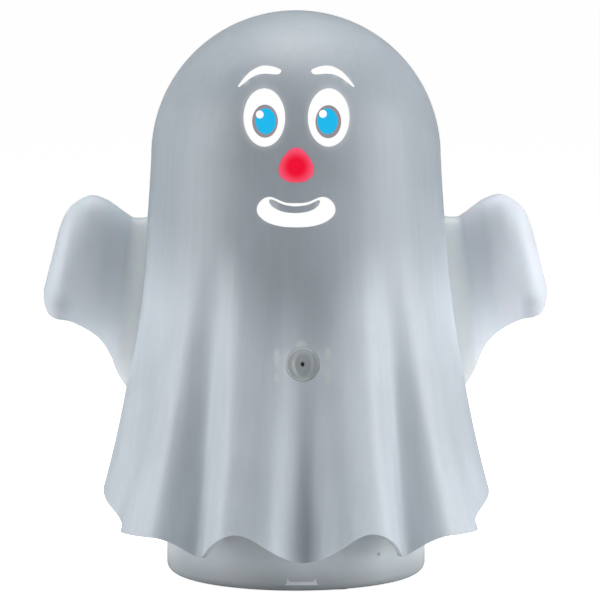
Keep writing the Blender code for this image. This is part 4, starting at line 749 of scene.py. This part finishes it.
# Drum base: a round tub of satin grey plastic with a rounded lower edge, a snap notch at the front,
# a moulding mark to the right of it and a window for the controls at the back.
DRUM_RADIUS = 0.076
DRUM_HEIGHT = 0.058
DRUM_WALL = 0.0025
DRUM_CORNER = 0.005
DRUM_FOOT = 0.0015
DRUM_LIP = 0.0006
PLATE_SEAT = 0.0043
PLATE_OPENING = 0.0688
LEDGE_TOP = 0.0063
LATCH_HALF_WIDTH = 0.0108
LATCH_HEIGHT = 0.0096
LATCH_TAPER = 0.0024
LATCH_GAP = 0.0001
PANEL_SEAT = 0.070
PANEL_MIDDLE = 0.022
WINDOW_HALF = 0.013
MARK_X = 0.0448
MARK_HEIGHT = 0.0205
MARK_RADIUS = 0.0010
MARK_DEPTH = 0.0012
DRUM_STEPS = 180
DRUM_SCATTER = {"Subsurface_Weight": 0.15, "Subsurface_Scale": 0.004}
DRUM_SHADE_FADE = (0.002, 0.020)
DRUM_LOW_SHADE_TINT = (0.46, 0.50, 0.53, 1)
DRUM_TINT = (0.75, 0.81, 0.85, 1)


def box_outline(x, z, half_x, half_z):
    """The four corners of a rectangle about a middle."""
    return [(x + right * half_x, z + up * half_z) for right, up in ((-1, -1), (1, -1), (1, 1), (-1, 1))]


def corner_arc(centre_radius, centre_height, size, first, last, count=10):
    """Points on part of a circle in the (radius, height) plane, angles in degrees."""
    turn = np.radians(np.linspace(first, last, count))
    return np.stack([centre_radius + size * np.cos(turn), centre_height + size * np.sin(turn)], -1)


def revolved(name, outline, steps, material, centre=(0, 0)):
    """An outline of (radius, height) points turned once round an upright axis."""
    outline = np.array(outline)
    turn = full_turn(steps)[None, :]
    x = centre[0] + outline[:, :1] * np.sin(turn)
    y = centre[1] - outline[:, :1] * np.cos(turn)
    points = np.stack([x, y, outline[:, 1:] + 0 * turn], -1)
    index = np.arange(points.shape[0] * steps).reshape(-1, steps)
    below = np.roll(index, -1, axis=0)
    faces = np.stack([index, below, np.roll(below, -1, 1), np.roll(index, -1, 1)], -1).reshape(-1, 4)
    return new_piece(name, points, faces, material)


drum_outline = [
    *corner_arc(DRUM_RADIUS - DRUM_CORNER, DRUM_FOOT + DRUM_CORNER, DRUM_CORNER, -90, 0),
    *corner_arc(DRUM_RADIUS - DRUM_LIP, DRUM_HEIGHT - DRUM_LIP, DRUM_LIP, 0, 90, 5),
    *((DRUM_RADIUS - DRUM_WALL, height) for height in (DRUM_HEIGHT, LEDGE_TOP)),
    *((DRUM_RADIUS - 2 * DRUM_CORNER, height) for height in (LEDGE_TOP, PLATE_SEAT)),
    *((PLATE_OPENING, height) for height in (PLATE_SEAT, DRUM_FOOT)),
]
satin, tree, shader, place = new_material("satin_base_plastic", **DRUM_SCATTER)
height = add_node(tree, "SeparateXYZ", {0: place}, "Z")
soft = cloud(tree, place, 22.0, 4.0, 0.3)
# Painted shade: the drum darkens towards its lower edge.
colour = blend(tree, ramp(tree, height, *DRUM_SHADE_FADE), DRUM_LOW_SHADE_TINT, DRUM_TINT)
colour = darkened(tree, colour, mottle(tree, soft, 0.94, 1.04))
surface(shader, place, colour, soft, (0.30, 0.42), (900.0, 0.06))
drum = revolved("drum_base", drum_outline, DRUM_STEPS, satin)
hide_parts("base_drum")
wide, top = LATCH_HALF_WIDTH + LATCH_GAP, LATCH_HEIGHT + LATCH_GAP
narrow = wide - LATCH_TAPER
notch = [(-wide, -DRUM_WALL), (wide, -DRUM_WALL), (narrow, top), (-narrow, top)]
notch = prism_cutter(notch, -DRUM_RADIUS - DRUM_WALL, -DRUM_RADIUS + 3 * DRUM_CORNER)
window = box_outline(0, PANEL_MIDDLE, DRUM_RADIUS / 2, WINDOW_HALF)
window = prism_cutter(window, PANEL_SEAT, 2 * PANEL_SEAT)
mark_front = -math.sqrt(DRUM_RADIUS**2 - MARK_X**2)
mark = round_cutter(MARK_X, MARK_HEIGHT, MARK_RADIUS, 2 * mark_front, mark_front + MARK_DEPTH, 24)
cut_by(drum, [notch, window, mark])


# Inner and lower pieces: the solids as modelled, each in the finish of its own stuff. They show from
# below, at the controls on the back and through the light gap under the hem.
PLAIN_FINISHES = {
    "inner_plastic": ("black_plastic", (0.020, 0.020, 0.022), (0.032, 0.032, 0.035), (0.42, 0.55)),
    "control_plastic": ("control_plastic", (0.028, 0.028, 0.030), (0.042, 0.042, 0.045), (0.32, 0.45)),
    "rubber": ("rubber", (0.016, 0.016, 0.016), (0.026, 0.026, 0.026), (0.72, 0.88), 90, 0, 0.15),
    "steel": ("zinc_steel", (0.52, 0.53, 0.55), (0.64, 0.65, 0.66), (0.26, 0.38), 200, 1),
    "aluminium": ("aluminium", (0.62, 0.63, 0.65), (0.74, 0.75, 0.77), (0.30, 0.42), 120, 1),
    "circuit_board": ("circuit_board", (0.010, 0.085, 0.035), (0.018, 0.125, 0.050), (0.30, 0.42), 260),
    "speaker_paper": (
        "speaker_paper", (0.016, 0.016, 0.017), (0.030, 0.030, 0.032), (0.80, 0.95), 400, 0, 0.3,
    ),
    "lens": ("lens_glass", (0.80, 0.85, 0.88), (0.88, 0.92, 0.94), (0.03, 0.06), 60, 0, 0, 0.9),
}
PLAIN_GRAIN = 1200.0


def plain_finish(name, low, high, gloss, scale=60, metal=0, grain=0.05, clear=0):
    """Soft clouds between two tints, with a fine grain."""
    made, tree, shader, place = new_material(name, Metallic=metal, Transmission_Weight=clear)
    soft = cloud(tree, place, scale)
    colour = blend(tree, mottle(tree, soft), (*low, 1), (*high, 1))
    surface(shader, place, colour, soft, gloss, (PLAIN_GRAIN, grain))
    return made


finishes = {"base_plastic": satin, "frosted_shell": frosted}
for slot, values in PLAIN_FINISHES.items():
    finishes[slot] = plain_finish(*values)
for part in frame["record"]["subparts"]:
    solid = frame["nodes"][part["node"]]
    solid.data.materials.clear()
    solid.data.materials.append(finishes[part["material_slot"]])


# Snap tab: the front tongue of the bottom plate, flush in the drum's notch, with a pale raised lip
# whose two ends turn up as small horns. Moulded with the plate.
LIP_EDGE = (
    (-9.3, 5.9), (-8.6, 6.4), (-8.2, 9.4), (-6.8, 7.5), (6.8, 7.5), (8.2, 9.4), (8.6, 6.4), (9.3, 5.9),
)
LIP_BOTTOM = 5.5
LIP_RISE = 0.00025
LIP_STEPS = 90
PLATE_TOP = 0.0040
PLATE_RADIUS = 0.0685
PLATE_EDGE = 0.0004
LIP_TINTS = ((0.84, 0.87, 0.90, 1), (0.90, 0.93, 0.96, 1))


def drum_face(z):
    """Outside radius of the drum at a height: a quarter circle at the lower edge, then upright."""
    fall = np.clip(DRUM_FOOT + DRUM_CORNER - z, 0, DRUM_CORNER)
    return DRUM_RADIUS - DRUM_CORNER + np.sqrt(DRUM_CORNER**2 - fall**2)


lip_x = np.linspace(LIP_EDGE[0][0], LIP_EDGE[-1][0], LIP_STEPS)[:, None] / 1000
lip_top = np.interp(1000 * lip_x, *zip(*LIP_EDGE)) / 1000
lip_low = 0 * lip_x + LIP_BOTTOM / 1000
lip_z = np.concatenate([lip_low, lip_top, lip_top, lip_low], 1)
lip_out = np.array([[LIP_RISE, LIP_RISE, -DRUM_WALL / 2, -DRUM_WALL / 2]])
lip_y = -np.sqrt((drum_face(lip_z) + lip_out) ** 2 - lip_x**2)
pale_lip, tree, shader, place = new_material("pale_plate_plastic", Roughness=0.38)
link(shader, Base_Color=blend(tree, mottle(tree, cloud(tree, place, 80.0)), *LIP_TINTS))
tab_lip = closed_grid("tab_lip", np.stack([lip_x + 0 * lip_z, lip_y, lip_z], -1), pale_lip)


# Bottom plate: a thin disc of base plastic that closes the drum, with five slots for the speaker and
# round recesses for four screws and four feet. The tongue of the snap tab rises from its front edge.
SPEAKER_X = -0.022
SPEAKER_Y = -0.020
SPEAKER_OPENING = 0.0144
SLOT_WIDTH = 0.0024
SLOT_PITCH = 0.0052
POST_CIRCLE = 0.058
SCREW_HOLE = 0.0014
HEAD_SEAT = 0.0030
HEAD_RECESS = 0.0033
FOOT_CIRCLE = 0.060
FOOT_RECESS = 0.0063
FOOT_SEAT = 0.0025
TAB_COLUMNS = 28


def round_ended(centre, half_width, half_length, count=9):
    """Outline of a slot with round ends, upright in its plane."""
    turn = np.linspace(0, math.pi, count)
    cap = np.stack([half_width * np.cos(turn), half_length - half_width + half_width * np.sin(turn)], -1)
    return np.concatenate([cap, -cap]) + centre


def on_circle(degrees, radius):
    """The point at an angle on a circle about the middle of the base."""
    turn = math.radians(degrees)
    return radius * math.cos(turn), radius * math.sin(turn)


plate_outline = [
    (0, DRUM_FOOT),
    *corner_arc(PLATE_RADIUS - PLATE_EDGE, DRUM_FOOT + PLATE_EDGE, PLATE_EDGE, -90, 0, 4),
    (PLATE_RADIUS, PLATE_TOP),
    (0, PLATE_TOP),
]
plate = revolved("plate_disc", plate_outline, DRUM_STEPS, satin)
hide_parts("bottom_plate")
tab_outside = DRUM_RADIUS - LATCH_GAP
tab_inside = DRUM_RADIUS - DRUM_WALL
tab_foot = PLATE_RADIUS - DRUM_WALL
tab_profile = [*corner_arc(tab_outside - DRUM_CORNER, DRUM_FOOT + DRUM_CORNER, DRUM_CORNER, -90, 0)]
tab_profile += [(tab_outside, LATCH_HEIGHT), (tab_inside, LATCH_HEIGHT), (tab_inside, PLATE_TOP)]
tab_profile = np.array([[*tab_profile, (tab_foot, PLATE_TOP), (tab_foot, DRUM_FOOT)]])
tab_share = np.linspace(-1, 1, TAB_COLUMNS)[:, None]
tab_rise = (tab_profile[..., 1] - DRUM_FOOT) / (LATCH_HEIGHT - DRUM_FOOT)
tab_x = tab_share * (LATCH_HALF_WIDTH - tab_rise * LATCH_TAPER)
tab_y = -np.sqrt(tab_profile[..., 0] ** 2 - tab_x**2)
tongue = closed_grid("tongue", np.stack([tab_x, tab_y, tab_profile[..., 1] + 0 * tab_x], -1), satin)
cut_by(plate, [tongue], "UNION")
plate_cuts = []
for step in (-2, -1, 0, 1, 2):
    reach = math.sqrt(SPEAKER_OPENING**2 - (step * SLOT_PITCH) ** 2)
    outline = round_ended((SPEAKER_X + step * SLOT_PITCH, SPEAKER_Y), SLOT_WIDTH / 2, reach)
    plate_cuts.append(prism_cutter(outline, 0, 2 * PLATE_TOP, upright=True))
post_places = [on_circle(45 + 90 * quarter, POST_CIRCLE) for quarter in range(4)]
foot_places = [on_circle(22.5 + 90 * quarter, FOOT_CIRCLE) for quarter in range(4)]
for x, y in post_places:
    plate_cuts.append(round_cutter(x, y, SCREW_HOLE, 0, 2 * PLATE_TOP, 32, upright=True))
    plate_cuts.append(round_cutter(x, y, HEAD_RECESS, 0, HEAD_SEAT, 48, upright=True))
for x, y in foot_places:
    plate_cuts.append(round_cutter(x, y, FOOT_RECESS, 0, FOOT_SEAT, 64, upright=True))
cut_by(plate, plate_cuts)


# Feet and base screws: four rubber pads with a round groove underneath, glued into their recesses,
# and four pan-head screws with a cross recess, driven up through the plate into the drum's posts.
FOOT_PROFILE = ((0, 0.25), (2.6, 0.25), (2.9, 0), (5.3, 0), (5.75, 0.15), (6, 0.5), (6, 2.2), (0, 2.2))
HEAD_PROFILE = ((0, -1.2), (1.2, -1.16), (2.1, -0.98), (2.7, -0.66), (3.0, -0.2), (3.0, 0))
THREAD_PITCH = 0.8
THREAD_LENGTH = 12.8
THREAD_RADII = (0.86, 1.1)
SCREW_TIP = 14.0
CROSS_HALF = 0.00033
CROSS_REACH = 0.0017
CROSS_DEPTH = 0.0007
threads = []
for low in THREAD_PITCH * np.arange(int(THREAD_LENGTH / THREAD_PITCH)):
    threads += [(THREAD_RADII[0], low), (THREAD_RADII[1], low + THREAD_PITCH / 2)]
screw_profile = np.array([*HEAD_PROFILE, *threads, (THREAD_RADII[0], THREAD_LENGTH), (0, SCREW_TIP)]) / 1000
for number, (x, y) in enumerate(foot_places, 1):
    foot = revolved(f"foot_{number}", np.array(FOOT_PROFILE) / 1000, 64, finishes["rubber"], (x, y))
    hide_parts(f"rubber_foot_{number}")
for number, (x, y) in enumerate(post_places, 1):
    outline = screw_profile + (0, HEAD_SEAT - LATCH_GAP / 2)
    screw = revolved(f"plate_screw_{number}", outline, 32, finishes["steel"], (x, y))
    head_low = float(outline[0, 1])
    crosses = []
    for half_x, half_y in ((CROSS_HALF, CROSS_REACH), (CROSS_REACH, CROSS_HALF)):
        cross = box_outline(x, y, half_x, half_y)
        crosses.append(prism_cutter(cross, head_low - CROSS_DEPTH, head_low + CROSS_DEPTH, upright=True))
    cut_by(screw, crosses)
    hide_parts(f"base_screw_{number}")


# Rear panel: a flat plate of base plastic in the drum's window, with openings for the controls and
# engraved marks over them. It stands on two posts in front of the control board.
PANEL_FRONT = 0.0697
PANEL_BACK = 0.0672
PANEL_BOTTOM = 0.0088
PANEL_TOP = 0.0375
PANEL_HALF = (0.0211, 0.0280)
PANEL_CUT = (0.0647, 0.0717)
POST_X = 0.018
POST_DROP = 0.008
POST_RADIUS = 0.0022
BOARD_FACE = 0.0567
FIT = 0.0003
MARK_LIFT = 0.0088
ENGRAVING = 0.0003
JACK_X = -0.0162
JACK_RADIUS = 0.0040
SWITCH_X = -0.0066
SLIDER_TRAVEL = 0.0040
KNOB_SIZE = (0.0035, 0.0028)
BUTTON_X = 0.0034
BUTTON_RADIUS = 0.0030
WHEEL_X = 0.0150
WHEEL_Y = 0.0645
WHEEL_RADIUS = 0.0070
WHEEL_HALF = 0.0015
BARS = (
    (JACK_X, 0, 0.6, 2.0, 0.22),
    (JACK_X, -1.5, -0.4, 0.5, 0.22),
    (JACK_X, 0, -0.4, 0.5, 0.22),
    (JACK_X, 1.5, -0.4, 0.5, 0.22),
    (SWITCH_X, -2.0, 0, 0.22, 1.1),
)
SIGNS = (
    (SWITCH_X, ((1.4, 0), (2.0, -0.6), (2.6, 0), (2.0, 0.6))),
    (BUTTON_X, ((-0.9, -1.1), (1.1, 0), (-0.9, 1.1))),
    (WHEEL_X, ((-3.4, -0.2), (3.4, -0.9), (3.4, 0.9), (-3.4, 0.2))),
)

panel_plan = [(-PANEL_HALF[0], PANEL_FRONT), (-PANEL_HALF[1], PANEL_BACK)]
panel_plan += [(PANEL_HALF[1], PANEL_BACK), (PANEL_HALF[0], PANEL_FRONT)]
panel_points = drawn_out(panel_plan, (PANEL_BOTTOM, PANEL_TOP), upright=True)
rear_panel = closed_grid("rear_panel", panel_points, satin)
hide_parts("control_panel")
posts = [(side * POST_X, PANEL_MIDDLE - POST_DROP) for side in (-1, 1)]
posts = [round_cutter(*post, POST_RADIUS, BOARD_FACE + FIT, PANEL_BACK + FIT, 24) for post in posts]
cut_by(rear_panel, posts, "UNION")
wheel_reach = FIT + math.sqrt(WHEEL_RADIUS**2 - (PANEL_BACK - WHEEL_Y) ** 2)
slot_half = (SLIDER_TRAVEL + KNOB_SIZE[0]) / 2 + FIT
slot = round_ended((0, 0), KNOB_SIZE[1] / 2 + FIT, slot_half)
slot = [(z + SWITCH_X, x + PANEL_MIDDLE) for x, z in slot]
wheel_slot = box_outline(WHEEL_X, PANEL_MIDDLE, wheel_reach, WHEEL_HALF + FIT)
panel_cuts = [prism_cutter(slot, *PANEL_CUT), prism_cutter(wheel_slot, *PANEL_CUT)]
for x, radius in ((JACK_X, JACK_RADIUS), (BUTTON_X, BUTTON_RADIUS)):
    panel_cuts.append(round_cutter(x, PANEL_MIDDLE, radius + FIT, *PANEL_CUT, 48))
for middle, outline in [*((x, box_outline(*row)) for x, *row in BARS), *SIGNS]:
    outline = [(middle + x / 1000, PANEL_MIDDLE + MARK_LIFT + z / 1000) for x, z in outline]
    panel_cuts.append(prism_cutter(outline, PANEL_FRONT - ENGRAVING, PANEL_CUT[1]))
cut_by(rear_panel, panel_cuts)


# Rear controls: a barrel jack with its pin, a ribbed slide knob, a push key with a dished top and a
# thumb wheel with a ridged edge. Each moving one rides on its own body and fits round what is behind.
JACK_HALF = (0.0044, 0.0048)
JACK_BORE = 0.0028
JACK_PIN = 0.0009
JACK_FLOOR = 0.00495
JACK_NOSE = 0.0003
KNOB_LOW = -0.0064
KNOB_PROUD = 0.0012
KNOB_RIBS = 4
KNOB_RIB = 0.00035
KEY_PROFILE = (
    (0, -7.4), (4.2, -7.4), (4.2, -6.2), (3.0, -6.2), (3.0, 1.3), (2.85, 1.62), (2.5, 1.8), (2.1, 1.8),
    (0, 1.55),
)
WHEEL_RIDGES = 40
RIDGE_DEPTH = 0.00035
WHEEL_CHAMFER = 0.00035
SPINDLE_BORE = 0.0021
SPINDLE_TOP = 0.0006


def turned_back(name, profile, centre_x, material, body="figure", steps=64):
    """A profile of (radius, depth) points in millimetres, turned about a line out of the panel."""
    profile = np.array(profile)[:, None, :] / 1000
    turn = full_turn(steps)[None, :]
    x = centre_x + profile[..., 0] * np.cos(turn)
    z = PANEL_MIDDLE + profile[..., 0] * np.sin(turn)
    y = PANEL_FRONT + profile[..., 1] + 0 * turn
    return closed_grid(name, np.stack([x, y, z], -1), material, body)


dark = finishes["control_plastic"]
jack_plan = box_outline(JACK_X, PANEL_MIDDLE, *JACK_HALF)
jack = closed_grid("jack_body", drawn_out(jack_plan, (BOARD_FACE + FIT, PANEL_BACK - FIT)), dark)
jack_floor = BOARD_FACE + JACK_FLOOR
nose = round_cutter(JACK_X, PANEL_MIDDLE, JACK_RADIUS, jack_floor, PANEL_FRONT - JACK_NOSE, 64)
cut_by(jack, [nose], "UNION")
cut_by(jack, [round_cutter(JACK_X, PANEL_MIDDLE, JACK_BORE, jack_floor, PANEL_FRONT + JACK_BORE, 48)])
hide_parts("dc_jack")
pin_low = 1000 * (jack_floor - PANEL_FRONT - JACK_PIN)
pin_profile = ((0, pin_low), (0.9, pin_low), (0.9, -1.9), (0.65, -1.5), (0, -1.4))
pin = turned_back("jack_pin", pin_profile, JACK_X, finishes["steel"], steps=24)

knob_x = np.linspace(-KNOB_SIZE[0] / 2, KNOB_SIZE[0] / 2, 61)
knob_wave = (1 + np.cos(2 * math.pi * (KNOB_RIBS - 0.5) * (knob_x / KNOB_SIZE[0] + 0.5) + math.pi)) / 2
knob_top = PANEL_FRONT + KNOB_PROUD - KNOB_RIB * (1 - knob_wave)
knob_plan = [(x, PANEL_FRONT + KNOB_LOW) for x in (knob_x[-1], knob_x[0])]
knob_plan = np.array([*zip(knob_x, knob_top), *knob_plan]) + (SWITCH_X - SLIDER_TRAVEL / 2, 0)
knob_levels = (PANEL_MIDDLE - KNOB_SIZE[1] / 2, PANEL_MIDDLE + KNOB_SIZE[1] / 2)
knob_points = drawn_out(knob_plan, knob_levels, upright=True)
knob = closed_grid("slide_knob", knob_points, dark, "power_slider")
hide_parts("power_slider")

key = turned_back("mode_key", KEY_PROFILE, BUTTON_X, dark, "mode_button")
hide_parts("mode_button")

turn = full_turn(8 * WHEEL_RIDGES)[None, :]
ridge = WHEEL_RADIUS - RIDGE_DEPTH * (1 - np.abs(np.cos(turn * WHEEL_RIDGES / 2)))
levels = np.array([-WHEEL_HALF, WHEEL_CHAMFER - WHEEL_HALF, WHEEL_HALF - WHEEL_CHAMFER, WHEEL_HALF])
radius = ridge - np.array([WHEEL_CHAMFER, 0, 0, WHEEL_CHAMFER])[:, None]
wheel_z = PANEL_MIDDLE + levels[:, None] + 0 * turn
wheel_points = np.stack([WHEEL_X + radius * np.cos(turn), WHEEL_Y + radius * np.sin(turn), wheel_z], -1)
wheel = closed_grid("thumb_wheel", wheel_points, dark, "volume_wheel")
bore = (PANEL_MIDDLE - 2 * WHEEL_HALF, PANEL_MIDDLE + SPINDLE_TOP, 32)
cut_by(wheel, [round_cutter(WHEEL_X, WHEEL_Y, SPINDLE_BORE, *bore, upright=True)])
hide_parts("volume_wheel")


# Studio: a pale floor, two tall soft lamps at the sides, a weak one in front and a white surround
# that only the camera sees at full strength.
CAMERA_DISTANCE = 2.0
CAMERA_RISE = math.radians(5.8)
CAMERA_TURN = math.radians(-2.4)
CAMERA_TARGET = (0, 0, 0.1625)
PIXEL_SIZE = 0.000586
FRAME_PIXELS = 600
TARGET_PIXEL = (296.0, 297.0)
SURROUND_LEVEL = 0.05
FLOOR_TINT = (0.80, 0.80, 0.80, 1)
FLOOR_LIFT = 0.95
FLOOR_HALF = 60.0
LAMPS = (
    ("left_softbox", (-1.10, -0.24, 0.42), 0.17, (0.8, 1.0), 9.6),
    ("right_softbox", (1.07, -0.38, 0.42), 0.17, (0.8, 1.0), 11.8),
    ("top_softbox", (0, 0.1, 1.3), 0.18, (0.8, 0.8), 10.0),
    ("front_fill", (0.0, -1.6, 0.5), 0.18, (0.8, 0.8), 0.4),
)

for name, place, aim_height, size, power in LAMPS:
    lamp_data = bpy.data.lights.new(name, "AREA")
    lamp_data.shape = "RECTANGLE"
    lamp_data.size, lamp_data.size_y = size
    lamp_data.energy = power
    lamp = new_object(name, lamp_data)
    lamp.location = place
    lamp.rotation_euler = (Vector((0, 0, aim_height)) - lamp.location).to_track_quat("-Z", "Y").to_euler()

world = bpy.data.worlds.new("surround")
bpy.context.scene.world = world
world.use_nodes = True
sky = world.node_tree
seen = add_node(sky, "LightPath", output="Is Camera Ray")
sky.links.new(ramp(sky, seen, 0.0, 1.0, SURROUND_LEVEL, 1.0), sky.nodes["Background"].inputs["Strength"])
sky.nodes["Background"].inputs["Color"].default_value = WHITE

floor_mesh = bpy.data.meshes.new("floor")
corners = [(x, y, 0) for x, y in box_outline(0, 0, FLOOR_HALF, FLOOR_HALF)]
floor_mesh.from_pydata(corners, [], [(0, 1, 2, 3)])
floor = new_object("floor", floor_mesh)
floor_paint, tree, shader, place = new_material(
    "pale_floor", Roughness=0.9, Base_Color=FLOOR_TINT, Emission_Color=WHITE, Specular_IOR_Level=0.0
)
seen = add_node(tree, "LightPath", output="Is Camera Ray")
link(shader, Emission_Strength=maths(tree, "MULTIPLY", seen, FLOOR_LIFT))
floor_mesh.materials.append(floor_paint)

camera_data = bpy.data.cameras.new("camera")
camera = new_object("camera", camera_data)
bpy.context.scene.camera = camera
level = math.cos(CAMERA_RISE)
back = Vector((math.sin(CAMERA_TURN) * level, -math.cos(CAMERA_TURN) * level, math.sin(CAMERA_RISE)))
camera.location = Vector(CAMERA_TARGET) + CAMERA_DISTANCE * back
camera.rotation_euler = (-back).to_track_quat("-Z", "Y").to_euler()
camera_data.lens = camera_data.sensor_width * CAMERA_DISTANCE / (PIXEL_SIZE * FRAME_PIXELS)
camera_data.shift_x = (FRAME_PIXELS / 2 - TARGET_PIXEL[0]) / FRAME_PIXELS
camera_data.shift_y = (TARGET_PIXEL[1] - FRAME_PIXELS / 2) / FRAME_PIXELS

bpy.context.scene.view_settings.view_transform = "Standard"
